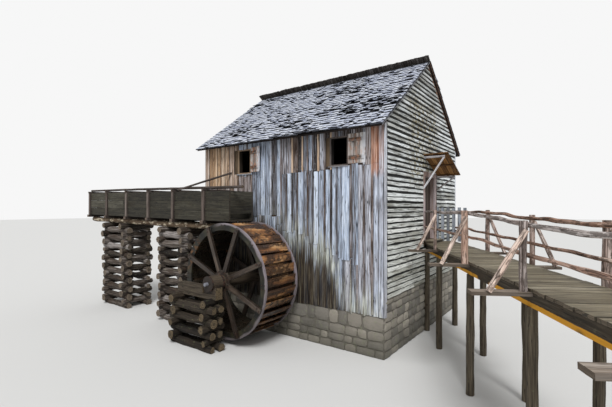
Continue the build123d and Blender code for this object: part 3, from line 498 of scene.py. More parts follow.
def soakedBuckets(plan, place, at, colour, rough):  # bright and dark boards, darker towards the bottom, painted highlight streaks where water drips, painted shade near black inside
    out, turn, _ = aboutWheel(plan, place)
    z = place.part(2)
    board = plan.reckon("FLOOR", turn * (32 / (2 * pi)) + 0.5)
    chance = plan.grainNoise(plan.join(board * 3.7, board * 1.3, 0.0), 1.0, 0.0)
    pool = plan.grainNoise(place, (3.4, 1.9, 3.4), 4.0, 0.65)
    mottle = plan.grainNoise(place, (9.0, 6.0, 9.0), 3.0, 0.65)
    wet = plan.rise(pool * 0.5 + mottle * 0.5 + chance * 0.18, 0.53, 0.64)
    streaks = plan.grainNoise(plan.join(turn * 1.5, place.part(1), 0.0), (3.0, 30.0, 1.0), 3.0, 0.6)
    wetWood = plan.grade(streaks, [(20, 14, 11), (44, 32, 24), (76, 57, 43), (106, 86, 70)])
    colour = plan.blend(wet * 0.9, colour, wetWood) * plan.rise(z, 0.4, 2.6, 0.50, 1.0)
    # painted highlight: brighter streaks of dripping water, low on the wheel
    dripHighlights = plan.patches(plan.join(turn, place.part(1), 0.0), (2.6, 24.0, 1.0), 0.46, 0.60, 3.0, 0.6)
    colour = plan.blend(dripHighlights * plan.rise(z, 2.6, 1.7) * 0.45, colour, wetWood * 1.5)
    # painted shade: near black inside the buckets, on wet wood
    shadedInside = plan.grade(streaks, [(12, 10, 8), (26, 22, 17), (46, 40, 30), (68, 60, 44)])
    return plan.blend(1 - plan.rise(out, 1.36, 1.40), colour, shadedInside), rough - wet * 0.3


def soakedShroud(plan, place, at, colour, rough):  # a pale rim on one side, worn and painted as a highlight along the top, rusty on the other
    out, _, x = aboutWheel(plan, place)
    z = place.part(2)
    # painted highlight with some wear: the rim's outer edge paler from the top round to one side, fading low
    # down
    wearAndSheen = plan.rise(out + (plan.grainNoise(at, (2.0, 1.6, 2.0)) - 0.5) * 0.16, 1.47, 1.52)
    wearAndSheen = wearAndSheen * plan.rise(x / out, -0.3, 0.1) * plan.rise(z, 0.7, 1.9, 0.45, 1.0)
    rusty = plan.patches(place, 9.0, 0.5, 0.6, 3.0, 0.6)
    rusty = rusty * plan.rise(x / out, -0.6, -0.85) * plan.rise(z, 1.75, 2.1)
    colour = plan.blend(rusty * 0.5, colour, paint(134, 88, 46))
    streaks = plan.grainNoise(at, (50.0, 1.3, 8.0))
    paleSheen = plan.grade(streaks, [(94, 84, 84), (138, 129, 134), (176, 169, 182)])
    return plan.blend(wearAndSheen * 0.92, colour, paleSheen), rough - wearAndSheen * 0.15


def soakedTimber(plan, place, at, colour, rough):  # soaked in dark patches, with a shine
    wet = plan.patches(place, (3.4, 2.2, 3.4), 0.42, 0.58, 3.0, 0.6)
    return plan.blend(wet * 0.6, colour, paint(34, 26, 20)), rough - wet * 0.3


def bandedAxle(plan, place, at, colour, rough):  # end grain, and iron gudgeons in the middle
    out, turn, _ = aboutWheel(plan, place)
    y = place.part(1)
    ends = 1 - plan.rise(y, -2.0695, -2.0685) * (1 - plan.rise(y, 0.1515, 0.1519))
    ring = plan.grainNoise(plan.join(out, turn * 0.25, 0.0), (55.0, 1.5, 1.0))
    colour = plan.blend(ends, colour, plan.grade(ring, [(16, 13, 10), (38, 30, 24), (66, 54, 44)]))
    iron = ends * (1 - plan.rise(out, 0.0455, 0.0465))
    dints = plan.grainNoise(place, 60.0, 3.0, 0.6)
    metal = plan.grade(dints, [(64, 64, 70), (118, 120, 128), (170, 172, 182)])
    return plan.blend(iron, colour, metal), rough - iron * 0.25


def patchyEdge(plan, place, at, colour, rough):  # fresh orange wood along the lower edge
    low = 1 - plan.rise(place.part(2) + (plan.grainNoise(place, 6.0) - 0.5) * 0.03, 2.402, 2.410)
    patch = plan.patches(place, 0.9, 0.42, 0.47, 2.0) * low
    return plan.blend(patch * 0.9, colour, paint(222, 158, 44)), rough


rained = {"frontBoards": splashed, "clapboards": lappedRows, "bucketBoards": soakedBuckets,
          "wheelTimber": soakedTimber, "blockTimber": soakedTimber, "shroudWood": soakedShroud,
          "axleWood": bandedAxle, "edgeTimber": patchyEdge, "roofBoards": rakeEdge, "verge": shadedVerge,
          "frameWood": darkReveal, "flumeBeam": bleachedPatches, "railLogs": peeledBark,
          "shutterBoards": sunnyShutter, "paleTrim": tannedCorner}

# Wood: colours from the darkest grain to the palest, stains, flecks, cracks and cut ends, 0 to 255
weathered = {
    "roofShake": {
        "colours": [(94, 99, 112), (139, 145, 162), (174, 181, 199), (194, 200, 214), (206, 211, 221)],
        "stain": (148, 149, 161), "stained": 0.25, "fleck": (190, 197, 196), "flecked": 0.2,
        "dark": (20, 20, 23), "streak": 1.6, "split": 0.5, "splitWidth": 0.018, "edge": (0.3, 0.05),
        # the butts' cut ends are painted near black and the lap band dark: painted shade under each course
        "lap": (1, 1, -0.272, -0.228, 0.97), "end": (40, 39, 43), "rough": 0.85},
    "combShake": {"colours": [(44, 40, 38), (72, 67, 64), (100, 95, 93), (130, 127, 126)],
        "stain": (48, 40, 33), "fleck": (120, 122, 104), "dark": (20, 18, 17), "edge": (0.7, 0.10),
        "end": (56, 48, 42), "rough": 0.88},
    "roofBoards": {"colours": [(30, 26, 24), (48, 41, 38), (68, 58, 53)], "stain": (40, 31, 26),
        "fleck": (76, 68, 62), "dark": (16, 14, 13), "along": "x", "rough": 0.9},
    "frontBoards": {
        "colours": [(52, 47, 46), (94, 91, 94), (128, 132, 143), (154, 165, 183), (182, 196, 218),
                    (214, 225, 241)],
        "warm": [(104, 76, 54), (160, 126, 94), (202, 166, 128), (228, 200, 168)],
        "stain": (120, 108, 102), "stained": 0.22, "fleck": (190, 195, 202), "dark": (22, 20, 19),
        "streak": 2.2, "split": 0.9, "splitWidth": 0.026, "edge": (0.85, 0.08), "end": (110, 104, 98),
        "rough": 0.84},
    "clapboards": {
        "colours": [(104, 104, 99), (162, 165, 163), (204, 209, 210), (228, 233, 235), (240, 243, 245)],
        "stain": (128, 120, 104), "stained": 0.35, "fleck": (156, 160, 122), "flecked": 0.4,
        "dark": (26, 25, 22), "streak": 1.9, "split": 0.7, "end": (74, 70, 62), "rough": 0.86},
    "paleTrim": {"colours": [(146, 146, 152), (178, 181, 191), (202, 206, 217), (220, 224, 234)],
        "stain": (120, 106, 94), "fleck": (164, 168, 146), "dark": (48, 45, 42), "along": "z"},
    "verge": {"colours": [(80, 56, 43), (116, 86, 69), (150, 118, 99)], "stain": (92, 58, 42),
        "fleck": (134, 116, 102), "dark": (26, 20, 16), "along": "y"},
    "frameWood": {"colours": [(50, 42, 37), (76, 66, 60), (104, 96, 92)], "stain": (74, 54, 40),
        "fleck": (126, 124, 124), "dark": (26, 22, 20), "along": "z"},
    "doorFrame": {"colours": [(104, 84, 76), (142, 122, 115), (172, 156, 154), (196, 186, 190)],
        "stain": (122, 88, 68), "stained": 0.5, "fleck": (150, 144, 142), "dark": (36, 28, 25),
        "along": "z"},
    "shutterBoards": {"colours": [(74, 62, 55), (134, 120, 111), (178, 168, 162), (210, 206, 204)],
        "stain": (98, 84, 76), "stained": 0.5, "fleck": (160, 134, 116), "flecked": 0.3,
        "dark": (36, 31, 28), "streak": 2.4, "edge": (0.8, 0.06), "end": (120, 112, 104)},
    "sillWood": {"colours": [(112, 110, 112), (146, 148, 154), (178, 182, 190)], "stain": (112, 100, 92),
        "fleck": (170, 172, 172), "dark": (50, 47, 46)},
    "doorBoards": {"colours": [(48, 40, 36), (70, 59, 53), (94, 82, 75)], "stain": (62, 48, 38),
        "fleck": (104, 96, 90), "dark": (22, 18, 16), "edge": (0.85, 0.07), "end": (70, 60, 52)},
    "canopyBoards": {"colours": [(76, 50, 24), (114, 78, 38), (146, 102, 54), (180, 136, 84)],
        "stain": (76, 50, 30), "stained": 0.55, "fleck": (160, 136, 100), "dark": (36, 23, 14),
        "edge": (0.85, 0.06), "end": (120, 86, 54)},
    "bracketWood": {"colours": [(136, 130, 130), (172, 169, 171), (206, 204, 208), (226, 226, 231)],
        "stain": (140, 120, 106), "fleck": (190, 188, 182), "dark": (56, 50, 47), "end": (140, 124, 108)},
    "shroudWood": {"colours": [(10, 10, 6), (19, 18, 10), (30, 28, 16), (48, 45, 28)],
        "stain": (50, 38, 24), "fleck": (92, 92, 66), "dark": (14, 12, 9), "rings": wheelCentre,
        "rough": 0.55, "shine": 0.45, "patch": (1.2, 0.4, 1.2)},
    "bucketBoards": {"colours": [(40, 27, 18), (82, 54, 33), (126, 83, 48), (170, 120, 73), (204, 160, 112)],
        "stain": (84, 56, 34), "stained": 0.5, "fleck": (168, 132, 92), "dark": (26, 18, 13),
        "along": "y", "patch": (2.6, 0.9, 2.6), "rough": 0.55, "shine": 0.45},
    "wheelTimber": {"colours": [(32, 26, 21), (52, 42, 35), (74, 62, 52), (102, 89, 77)],
        "stain": (58, 42, 28), "fleck": (112, 106, 92), "dark": (18, 14, 11), "edge": (0.6, 0.10),
        "end": (96, 86, 74), "rough": 0.6, "shine": 0.4},
    "axleWood": {"colours": [(24, 20, 16), (42, 35, 28), (62, 52, 42), (84, 73, 60)],
        "stain": (44, 34, 26), "fleck": (96, 96, 74), "dark": (15, 12, 10), "along": "y", "rough": 0.6,
        "shine": 0.4},
    "blockTimber": {"colours": [(30, 25, 20), (48, 40, 33), (70, 60, 50)], "stain": (44, 34, 24),
        "fleck": (96, 94, 78), "dark": (18, 15, 12), "along": "x", "rough": 0.75},
    "cribLogs": {"colours": [(26, 21, 18), (48, 40, 34), (74, 65, 58), (108, 99, 93), (146, 140, 137)],
        "stain": (62, 46, 34), "stained": 0.5, "fleck": (128, 134, 104), "flecked": 0.55,
        "dark": (20, 17, 14), "end": (136, 122, 106), "streak": 1.9, "bump": 1.0, "round": True},
    "pierLogs": {"colours": [(20, 16, 12), (35, 29, 23), (53, 45, 36), (80, 71, 60)],
        "stain": (50, 40, 29), "stained": 0.5, "fleck": (104, 108, 76), "flecked": 0.6,
        "dark": (16, 13, 11), "end": (118, 102, 78), "streak": 1.9, "bump": 1.0, "round": True},
    "flumeBoards": {"colours": [(30, 28, 23), (46, 43, 36), (62, 59, 49), (86, 83, 73)],
        "stain": (50, 44, 32), "stained": 0.55, "fleck": (98, 104, 76), "flecked": 0.35,
        "dark": (15, 14, 12), "edge": (0.85, 0.035), "streak": 2.0, "end": (78, 70, 60), "rough": 0.72},
    "flumeTimber": {"colours": [(58, 49, 44), (84, 73, 67), (110, 99, 93), (138, 127, 121)],
        "stain": (66, 50, 38), "fleck": (118, 120, 100), "dark": (26, 21, 18), "edge": (0.5, 0.10),
        "end": (128, 112, 100)},
    "darkPole": {"colours": [(38, 32, 29), (60, 52, 48), (86, 77, 72), (114, 106, 102)],
        "stain": (52, 40, 32), "fleck": (120, 118, 104), "dark": (20, 17, 15), "end": (116, 100, 84),
        "bump": 0.9, "round": True},
    "supportLogs": {"colours": [(50, 44, 36), (76, 68, 56), (102, 93, 78), (128, 119, 104)],
        "stain": (68, 54, 40), "fleck": (122, 126, 98), "dark": (26, 22, 18), "end": (130, 114, 94),
        "bump": 0.9, "round": True},
    "flumeBeam": {"colours": [(40, 30, 22), (66, 51, 39), (92, 75, 58), (120, 104, 85)],
        "stain": (66, 42, 26), "stained": 0.6, "fleck": (176, 164, 142), "flecked": 0.5,
        "dark": (26, 20, 16), "end": (196, 178, 142), "bump": 1.0, "round": True},
    "deckBoards": {"colours": [(80, 73, 58), (108, 99, 80), (134, 125, 104), (164, 156, 138)],
        "stain": (88, 75, 54), "fleck": (140, 141, 108), "dark": (34, 30, 25), "edge": (0.75, 0.07),
        "end": (124, 110, 92), "rough": 0.64, "shine": 0.4},
    "edgeTimber": {"colours": [(32, 28, 22), (50, 44, 35), (72, 64, 53), (100, 91, 78)],
        "stain": (70, 54, 36), "fleck": (110, 108, 86), "dark": (24, 20, 17), "edge": (0.4, 0.08)},
    "outriggerWood": {"colours": [(78, 66, 56), (108, 95, 82), (136, 124, 112), (164, 154, 144)],
        "stain": (102, 82, 62), "fleck": (150, 150, 132), "dark": (44, 38, 34), "edge": (0.5, 0.08),
        "end": (120, 106, 92)},
    "railLogs": {"colours": [(82, 74, 71), (126, 116, 112), (170, 161, 158), (206, 200, 198)],
        "warm": [(110, 80, 64), (164, 126, 106), (206, 170, 150), (234, 210, 194)], "stain": (86, 64, 50),
        "stained": 0.5, "fleck": (160, 152, 140), "flecked": 0.4, "dark": (32, 24, 19),
        "end": (164, 136, 106), "streak": 2.2, "bump": 1.0, "round": True},
    "pickets": {"colours": [(88, 90, 94), (114, 119, 127), (142, 150, 160), (170, 178, 190)],
        "stain": (100, 94, 90), "fleck": (150, 154, 142), "dark": (42, 42, 45), "edge": (0.5, 0.08),
        "end": (128, 122, 114)},
    "innerWood": {"colours": [(64, 52, 41), (84, 69, 54), (104, 88, 70)], "stain": (70, 54, 38),
        "fleck": (104, 94, 78), "dark": (30, 24, 19), "along": "z", "rough": 0.88},
    "floorWood": {"colours": [(74, 60, 45), (98, 82, 62), (120, 102, 80)], "stain": (78, 60, 42),
        "fleck": (118, 106, 88), "dark": (34, 27, 20), "along": "x", "rough": 0.8},
}


# Iron and stone
def ironFinish():
    material, plan, place = startFinish("forgedIron")
    dints = plan.grainNoise(place, 60.0, 4.0, 0.6)
    rust = plan.patches(place, 22.0, 0.46, 0.62, 4.0, 0.7)
    colour = plan.grade(dints, [(34, 32, 31), (58, 55, 54), (92, 90, 92)])
    colour = plan.blend(rust * 0.7, colour, paint(96, 54, 32))
    closeFinish(plan, colour, 0.5 + rust * 0.35, dints, 0.5, 0.003, 0.85 - rust * 0.75)
    return material


def stoneFinish(name, colours, depth, grain):
    material, plan, place = startFinish(name)
    broad = plan.grainNoise(place, 2.2)
    fine = plan.grainNoise(place, grain, 5.0, 0.65)
    lichen = plan.patches(place, 7.0, 0.54, 0.66, 4.0, 0.7)
    damp = 1 - plan.rise(place.part(2) + broad * 0.7, 0.3, 1.3)
    colour = plan.grade(plan.named("tone") * 0.7 + broad * 0.2 + fine * 0.3 - 0.1, colours)
    colour = plan.blend(lichen * 0.45, colour, paint(126, 130, 104))
    colour = plan.blend(damp * 0.55, colour, paint(60, 58, 46))
    closeFinish(plan, colour, 0.9 - damp * 0.25, fine, 0.8, depth)
    return material


stoneColours = {"fieldstone": [(84, 80, 74), (112, 108, 101), (138, 132, 122), (158, 152, 140)],
                "mortar": [(96, 92, 84), (116, 111, 101), (134, 128, 116)]}
finish = {name: woodFinish(name, look, rained.get(name)) for name, look in weathered.items()}
finish["backBoards"] = woodFinish("backBoards", weathered["frontBoards"], dampFoot)
finish["iron"] = ironFinish()
finish["fieldstone"] = stoneFinish("fieldstone", stoneColours["fieldstone"], 0.012, 24.0)
finish["mortar"] = stoneFinish("mortar", stoneColours["mortar"], 0.008, 60.0)
print("stage: finishes ready,", len(finish))


# Roof shakes
roof = {"eave": 5.653, "ridgeY": 3.04, "pitch": radians(36.5), "thick": 0.110, "overhang": 0.28,
        "left": -6.64, "right": 0.09}
shake = {"exposure": 0.150, "length": 0.47, "lengthSpread": (0.92, 1.04), "shortest": 0.1, "thick": 0.021,
         "width": (0.085, 0.19), "narrowest": 0.03, "gap": 0.005, "tilt": radians(4.2), "skew": 0.7,
         "overEave": 0.045, "overVerge": 0.02, "sag": 0.008, "slip": 0.007, "taper": 0.06,
         "tone": (0.73, 0.24), "stagger": 0.08, "rise": 0.019, "firstRise": 0.008, "riseSpread": 0.003,
         "lost": 0.18, "slips": (-0.05, 0.02), "lifts": (0.012, 0.070), "curled": 0.24,
         "curls": (0.008, 0.034), "lostAbove": 0.45, "slipsAbove": 0.36, "liftsAbove": 0.33,
         "nailedEnd": 0.1, "seed": 11}  # what is above a limit of wear is lost, slips or lifts


def slopeShakes(side, seed):  # side -1 falls to the wheel side, +1 to the back
    dice = Random(seed)
    across = right * -side
    along = Vector((0, -side * cos(roof["pitch"]), sin(roof["pitch"])))
    out = across.cross(along)
    reach = roof["ridgeY"] + roof["overhang"]
    run = reach / cos(roof["pitch"])
    top = roof["eave"] - roof["overhang"] * tan(roof["pitch"]) + roof["thick"] / cos(roof["pitch"])
    foot = Vector((0, roof["ridgeY"] + side * reach, top))
    leftEnd, rightEnd = roof["left"] - shake["overVerge"], roof["right"] + shake["overVerge"]
    shakes = []
    for course in range(-1, ceil((run - shake["shortest"]) / shake["exposure"])):
        butt = max(course, 0) * shake["exposure"] - shake["overEave"]
        x = leftEnd - dice.uniform(0, shake["stagger"])
        sag = dice.uniform(-shake["sag"], shake["sag"])
        while x < rightEnd:
            width = dice.uniform(*shake["width"])
            start, end = max(x, leftEnd), min(x + width, rightEnd)
            x += width
            middle = (start + end) / 2
            wearAndSheen = noise.noise(Vector((middle * 0.75, course * 0.22, 3.7 + seed)))
            wearAndSheen += 0.6 * noise.noise(Vector((middle * 2.6, course * 0.9, 9.1 + seed)))
            narrow = end - start < shake["narrowest"]
            if narrow or (course > 0 and wearAndSheen > shake["lostAbove"] and dice.random() < shake["lost"]):
                continue
            length = min(shake["length"] * dice.uniform(*shake["lengthSpread"]), run - butt)
            if length < shake["shortest"]:
                continue
            slip = dice.uniform(-shake["slip"], shake["slip"])
            slip += dice.uniform(*shake["slips"]) if wearAndSheen > shake["slipsAbove"] else 0
            lift = dice.uniform(0, 0.003)
            lift += dice.uniform(*shake["lifts"]) if wearAndSheen > shake["liftsAbove"] else 0
            lift += dice.uniform(*shake["curls"]) if dice.random() < shake["curled"] else 0
            if middle < roof["left"] + shake["nailedEnd"]:
                lift = 0
            rise = shake["firstRise"] if course < 0 else shake["rise"] + dice.uniform(0, shake["riseSpread"])
            spot = foot + along * (butt + sag + slip * (course > 0) + length / 2) + out * rise
            turn = facing(across, along) @ Matrix.Rotation(-shake["tilt"], 3, "X") \
                @ Matrix.Rotation(radians(dice.gauss(0, shake["skew"])), 3, "Z")
            tone = min(max(dice.gauss(*shake["tone"]), 0), 1)
            size = (end - start - shake["gap"], length, shake["thick"])
            shakes.append(item(spot + right * middle, turn, size, tone, lift,
                               taper=dice.uniform(-shake["taper"], shake["taper"]), stray=dice.random()))
    return shakes


shakeCuts = {"along": 4, "warp": 0.012, "rag": 0.012, "wane": 0.006, "seed": 3.0}
for place, side, seed in (("Front", -1, shake["seed"]), ("Back", 1, shake["seed"] + 1)):
    lay("roofShakes" + place, "board", slopeShakes(side, seed), shakeCuts, "roofShake")

comb = {"above": 0.20, "aboveSpread": 0.007, "below": 0.32, "belowSpread": (-0.04, 0.05), "pastLeft": 0.16,
        "stagger": 0.05, "thick": 0.020, "width": (0.06, 0.10), "narrowest": 0.02, "gap": 0.004,
        "off": 0.001, "skew": 0.02, "tone": (0.32, 0.14), "curl": 0.01, "seed": 5}


def combShakes():  # two layers that stand proud of the ridge and lie on the back slope
    dice = Random(comb["seed"])
    along, across = Vector((0, -cos(roof["pitch"]), sin(roof["pitch"]))), -right
    out = across.cross(along)
    peak = roof["eave"] + roof["ridgeY"] * tan(roof["pitch"]) + roof["thick"] / cos(roof["pitch"])
    ridge = Vector((0, roof["ridgeY"], peak))
    shakes = []
    for layer in (0, 1):
        x = roof["left"] - comb["pastLeft"] + layer * comb["stagger"]
        while x < roof["right"] - comb["narrowest"]:
            width = min(dice.uniform(*comb["width"]), roof["right"] - x)
            low = -comb["below"] + dice.uniform(*comb["belowSpread"])
            high = comb["above"] + dice.gauss(0, comb["aboveSpread"])
            centre = ridge + along * (low + high) / 2 + right * (x + width / 2)
            centre += out * (comb["thick"] * (0.5 + layer) + comb["off"])
            turn = facing(across, along) @ Matrix.Rotation(dice.gauss(0, comb["skew"]), 3, "Z")
            shakes.append(item(centre, turn, (width - comb["gap"], high - low, comb["thick"]),
                               dice.gauss(*comb["tone"]), comb["curl"], stray=dice.random()))
            x += width
    return shakes


lay("ridgeComb", "board", combShakes(), {"along": 5, "warp": 0.012, "rag": 0.02, "wane": 0.006},
    "combShake", ("roof_comb",))
rest("roofBoards", "roof_front_slope", "roof_back_slope")
print("stage: roof laid")

# Upright boards of the two long walls
longWall = {"left": -6.55, "right": 0.0, "depth": 6.08, "foot": 1.0, "backFoot": 1.45, "top": 5.71,
            "boardThick": 0.024, "proud": 0.012, "battenThick": 0.018, "battenIn": 0.002, "gap": 0.008,
            "width": (0.17, 0.235), "batten": (0.048, 0.072), "battensKept": 0.86, "windowTrim": 0.036,
            "backLap": 4.62, "lapSpread": 0.03, "footSpread": 0.16, "backFootSpread": 0.04, "endGap": 0.003,
            "battenEndGap": 0.004, "battenShift": 0.05, "lowerBack": 0.004, "shortest": 0.04,
            "narrowest": 0.02, "seed": 21}
cornerBoard = {"width": 0.13, "gap": 0.004, "y": -0.010, "thick": 0.028}
patchBoard = {"x": -1.04, "proud": 0.013, "middle": 3.505, "size": (0.235, 2.39, 0.020)}
windows = {"right": (-1.494, -1.010, 4.747, 5.432), "left": (-4.925, -4.441, 4.720, 5.405)}
shutters = {"right": (-0.976, 4.747, 0.0), "left": (-4.407, 4.720, 15.0)}  # hinge x, sill, opened by
shutterSize = {"width": 0.495, "height": 0.750, "thick": 0.028, "gap": 0.006, "tones": (0.75, 0.5, 0.85),
               "uneven": 0.004, "ledge": 0.085, "ledgeThick": 0.020, "ledgeIn": 0.110, "ledgeSide": 0.030,
               "ledgeTone": 0.12}
upperLaps = ((-4.95, 4.28), (-4.42, 4.62), (-3.13, 3.40), (-1.5, 4.62), (0.0, 4.71))  # up to x, lap height
raggedFoot = ((-4.9, 3.6), (-3.9, 3.42), (-3.1, 3.25), (-2.4, 3.02), (-1.9, 2.75), (-1.2, 2.45), (0.0, 2.30))
wallZones = {"tanned": -4.95, "tannedMost": (-6.4, -5.3), "underWindow": (-5.0, -4.4), "browner": -3.2,
             "paleBattens": -3.13, "tanBattens": -1.5, "paler": -1.2, "wholeBoards": -0.66,
             "newBoard": -0.5}  # x of each one's edge, or of both edges


def heightAt(steps, x):
    return next(height for edge, height in steps if x < edge)


def cutOut(low, high, x0, x1, holes):  # what is left of an upright strip beside the windows
    spans = [(low, high)]
    for start, end, sill, head in holes:
        if x1 <= start or x0 >= end:
            continue
        spans = [(a, b) for low, high in spans for a, b in ((low, min(high, sill)), (max(low, head), high))
                 if b - a > longWall["shortest"]]
    return spans


def frontTint(dice, middle, tier):  # tone and warmth of one board, by its place on the wall
    tone, warm = dice.gauss(0.52, 0.23), 0.0
    if tier == "low":
        tone = dice.gauss(0.5, 0.15)
    elif tier == "middle":
        tone += 0.13 if middle < wallZones["paler"] else 0.02
        if middle < wallZones["tanned"]:
            warm = dice.uniform(0.3, 0.6)
        if wallZones["underWindow"][0] < middle < wallZones["underWindow"][1]:
            warm, tone = 0.4, min(tone, 0.5)
    elif middle < wallZones["tanned"]:
        warm, tone = dice.choice((0.95, 0.85, 0.7, 0.3)), dice.gauss(0.57, 0.15)
        if not wallZones["tannedMost"][0] <= middle <= wallZones["tannedMost"][1]:
            warm, tone = 0.7, 0.62
    elif middle > wallZones["browner"]:
        warm, tone = dice.choice((0, 0, 0.1, 0.2, 0.3)), tone - 0.14
        if middle > wallZones["newBoard"]:
            warm, tone = 0.35, 0.5
    else:
        tone += 0.17
    if middle > wallZones["paler"] and warm == 0:
        warm, tone = dice.choice((0, 0, 0.1, 0.2)), max(tone, 0.4) + 0.04
    if middle > wallZones["wholeBoards"] and tier != "upper":
        tone = 0.68
    return tone, warm


def battenTint(dice, middle, tier, warm):
    tone = dice.choice((0.05, 0.15, 0.25, 0.4, 0.75)) + (0.2 if middle < wallZones["paleBattens"] else 0)
    warm = max(warm, dice.choice((0, 0, 0.15, 0.3)))
    between = wallZones["browner"] < middle < wallZones["tanBattens"]
    if tier == "upper" and between and dice.random() < 0.4:
        return 0.7, 0.85
    return tone, warm


def frontBoards():
    wall, leaf = longWall, shutterSize
    dice = Random(wall["seed"])
    pad = wall["windowTrim"]
    holes = [(a - pad, b + pad, c - pad, d + pad) for a, b, c, d in windows.values()]
    shaded = [(h, h + leaf["width"] + 0.02, s, s + leaf["height"]) for h, s, _ in shutters.values()]
    turn = facing(right, up)
    boards, battens = [], []
    x, end = wall["left"], wall["right"] - cornerBoard["width"]
    while x < end - wall["narrowest"]:
        edge = min(x + dice.uniform(*wall["width"]), end)
        middle = (x + edge) / 2
        lap = heightAt(upperLaps, middle) + dice.uniform(-wall["lapSpread"], wall["lapSpread"])
        foot = heightAt(raggedFoot, middle) + dice.uniform(-wall["footSpread"], wall["footSpread"])
        if middle > wallZones["wholeBoards"]:
            foot = wall["foot"]
        levels = [(lap, wall["top"], "upper")]
        if foot < lap - 0.1:
            levels.append((foot, lap, "middle"))
        if foot > wall["foot"] + 0.1:
            levels.append((wall["foot"], min(foot, lap), "low"))
        for low, high, tier in levels:
            tone, warm = frontTint(dice, middle, tier)
            y = wall["boardThick"] / 2 - wall["proud"] + (wall["lowerBack"] if tier == "low" else 0.0)
            for a, b in cutOut(low, high - wall["endGap"], x, edge, holes):
                size = (edge - x - wall["gap"], b - a, wall["boardThick"])
                spot = (middle, y, (a + b) / 2)
                boards.append(item(spot, turn, size, tone, stray=dice.random(), warm=warm))
            tone, warm = battenTint(dice, middle, tier, warm)
            half = dice.uniform(*wall["batten"]) / 2
            shift = dice.uniform(-wall["battenShift"], wall["battenShift"]) if tier != "upper" else 0
            if edge >= end - 0.01 or dice.random() >= wall["battensKept"]:
                continue
            y = -wall["proud"] - wall["battenThick"] / 2 + wall["battenIn"]
            top = high + shift - wall["battenEndGap"]
            for a, b in cutOut(low + shift, top, edge - half, edge + half, holes + shaded):
                size = (2 * half, b - a, wall["battenThick"])
                spot = (edge, y, (a + b) / 2)
                battens.append(item(spot, turn, size, tone, stray=dice.random(), warm=warm))
        x = edge
    patch = (patchBoard["x"], -wall["proud"] - patchBoard["proud"], patchBoard["middle"])
    boards.append(item(patch, turn, patchBoard["size"], 0.8, stray=0.4))
    corner = (wall["right"] - cornerBoard["width"] / 2, cornerBoard["y"], (wall["top"] + wall["foot"]) / 2)
    cornerSize = (cornerBoard["width"] - cornerBoard["gap"], wall["top"] - wall["foot"], cornerBoard["thick"])
    boards.append(item(corner, turn, cornerSize, 0.74, stray=0.7, warm=0.15))
    return boards, battens


def backBoards():
    wall = longWall
    dice = Random(wall["seed"] + 1)
    turn = facing(-right, up)
    boardY = wall["depth"] + wall["proud"] - wall["boardThick"] / 2
    battenY = wall["depth"] + wall["proud"] + wall["battenThick"] / 2 - wall["battenIn"]
    boards, battens = [], []
    x = wall["left"]
    while x < wall["right"] - wall["narrowest"]:
        edge = min(x + dice.uniform(*wall["width"]), wall["right"])
        lap = wall["backLap"] + dice.uniform(-wall["lapSpread"], wall["lapSpread"])
        foot = wall["backFoot"] + dice.uniform(0, wall["backFootSpread"])
        for low, high in ((foot, lap), (lap, wall["top"])):
            tone, warm = dice.gauss(0.52, 0.18), dice.choice((0, 0, 0.1, 0.3))
            size = (edge - x - wall["gap"], high - low - wall["endGap"], wall["boardThick"])
            boards.append(item(((x + edge) / 2, boardY, (low + high) / 2), turn, size, tone,
                               stray=dice.random(), warm=warm))
            half = dice.uniform(*wall["batten"]) / 2
            if edge < wall["right"] - 0.01:
                size = (2 * half, high - low - wall["battenEndGap"], wall["battenThick"])
                battens.append(item((edge, battenY, (low + high) / 2), turn, size, tone - 0.1,
                                    stray=dice.random(), warm=warm))
        x = edge
    return boards, battens


uprightCuts = {"along": 12, "across": 3, "warp": 0.006, "rag": 0.030, "wane": 0.007, "seed": 8.0}
for place, (boards, battens) in (("front", frontBoards()), ("back", backBoards())):
    look = place + "Boards"
    lay(look, "board", boards, uprightCuts, look)
    lay(place + "Battens", "board", battens, {**uprightCuts, "wane": 0.006}, look)
rest("innerWood", "front_wall", "back_wall")
print("stage: long walls boarded")

# Lapped boards of the gables
gable = {"exposure": 0.131, "exposureSpread": (0.95, 1.05), "width": 0.160, "thick": 0.024, "gap": 0.004,
         "tilt": radians(9.5), "out": 0.019, "foot": 1.44, "start": 0.108, "end": 5.972,
         "length": (1.6, 3.6), "shortest": 0.7, "belowRoof": 0.017, "frontRise": 0.090, "slip": 0.007,
         "skew": 0.002, "tone": (0.55, 0.16), "belowPeak": 0.06, "leftOver": 0.02, "seed": 31}
doorway = {"near": 2.620, "far": 3.850, "foot": 2.45, "head": 4.690}  # rows that start in here stop at it


def lappedBoards(side, seed):  # side +1 is the gable with the door
    dice = Random(seed)
    turn = facing(-up, back * side) @ Matrix.Rotation(-gable["tilt"], 3, "Y")
    face = (longWall["right"] if side > 0 else longWall["left"]) + side * gable["out"]
    slope = tan(roof["pitch"])
    boards = []
    z = gable["foot"]
    while z < roof["eave"] + slope * roof["ridgeY"] - gable["belowPeak"]:
        inset = max(0.0, (z - roof["eave"]) / slope)
        nearInset = max(0.0, (z - roof["eave"] - gable["frontRise"]) / slope)
        near, far = max(nearInset, gable["start"]), gable["end"] - max(inset - gable["start"], 0)
        spans = [(near, far)]
        if side > 0 and doorway["foot"] < z < doorway["head"]:
            spans = [(near, doorway["near"]), (doorway["far"], far)]
        for y, high in spans:
            while y < high - gable["leftOver"]:
                step = dice.uniform(*gable["length"])
                end = high if high - y - step < gable["shortest"] else y + step
                slip, tone = dice.gauss(0, gable["slip"]), dice.gauss(*gable["tone"])
                boards.append(item((face, (y + end) / 2, z + gable["width"] / 2 + slip),
                                   turn @ Matrix.Rotation(dice.gauss(0, gable["skew"]), 3, "Z"),
                                   (gable["width"], end - y - gable["gap"], gable["thick"]), tone,
                                   stray=dice.random()))
                y = end
        z += gable["exposure"] * dice.uniform(*gable["exposureSpread"])
    return boards


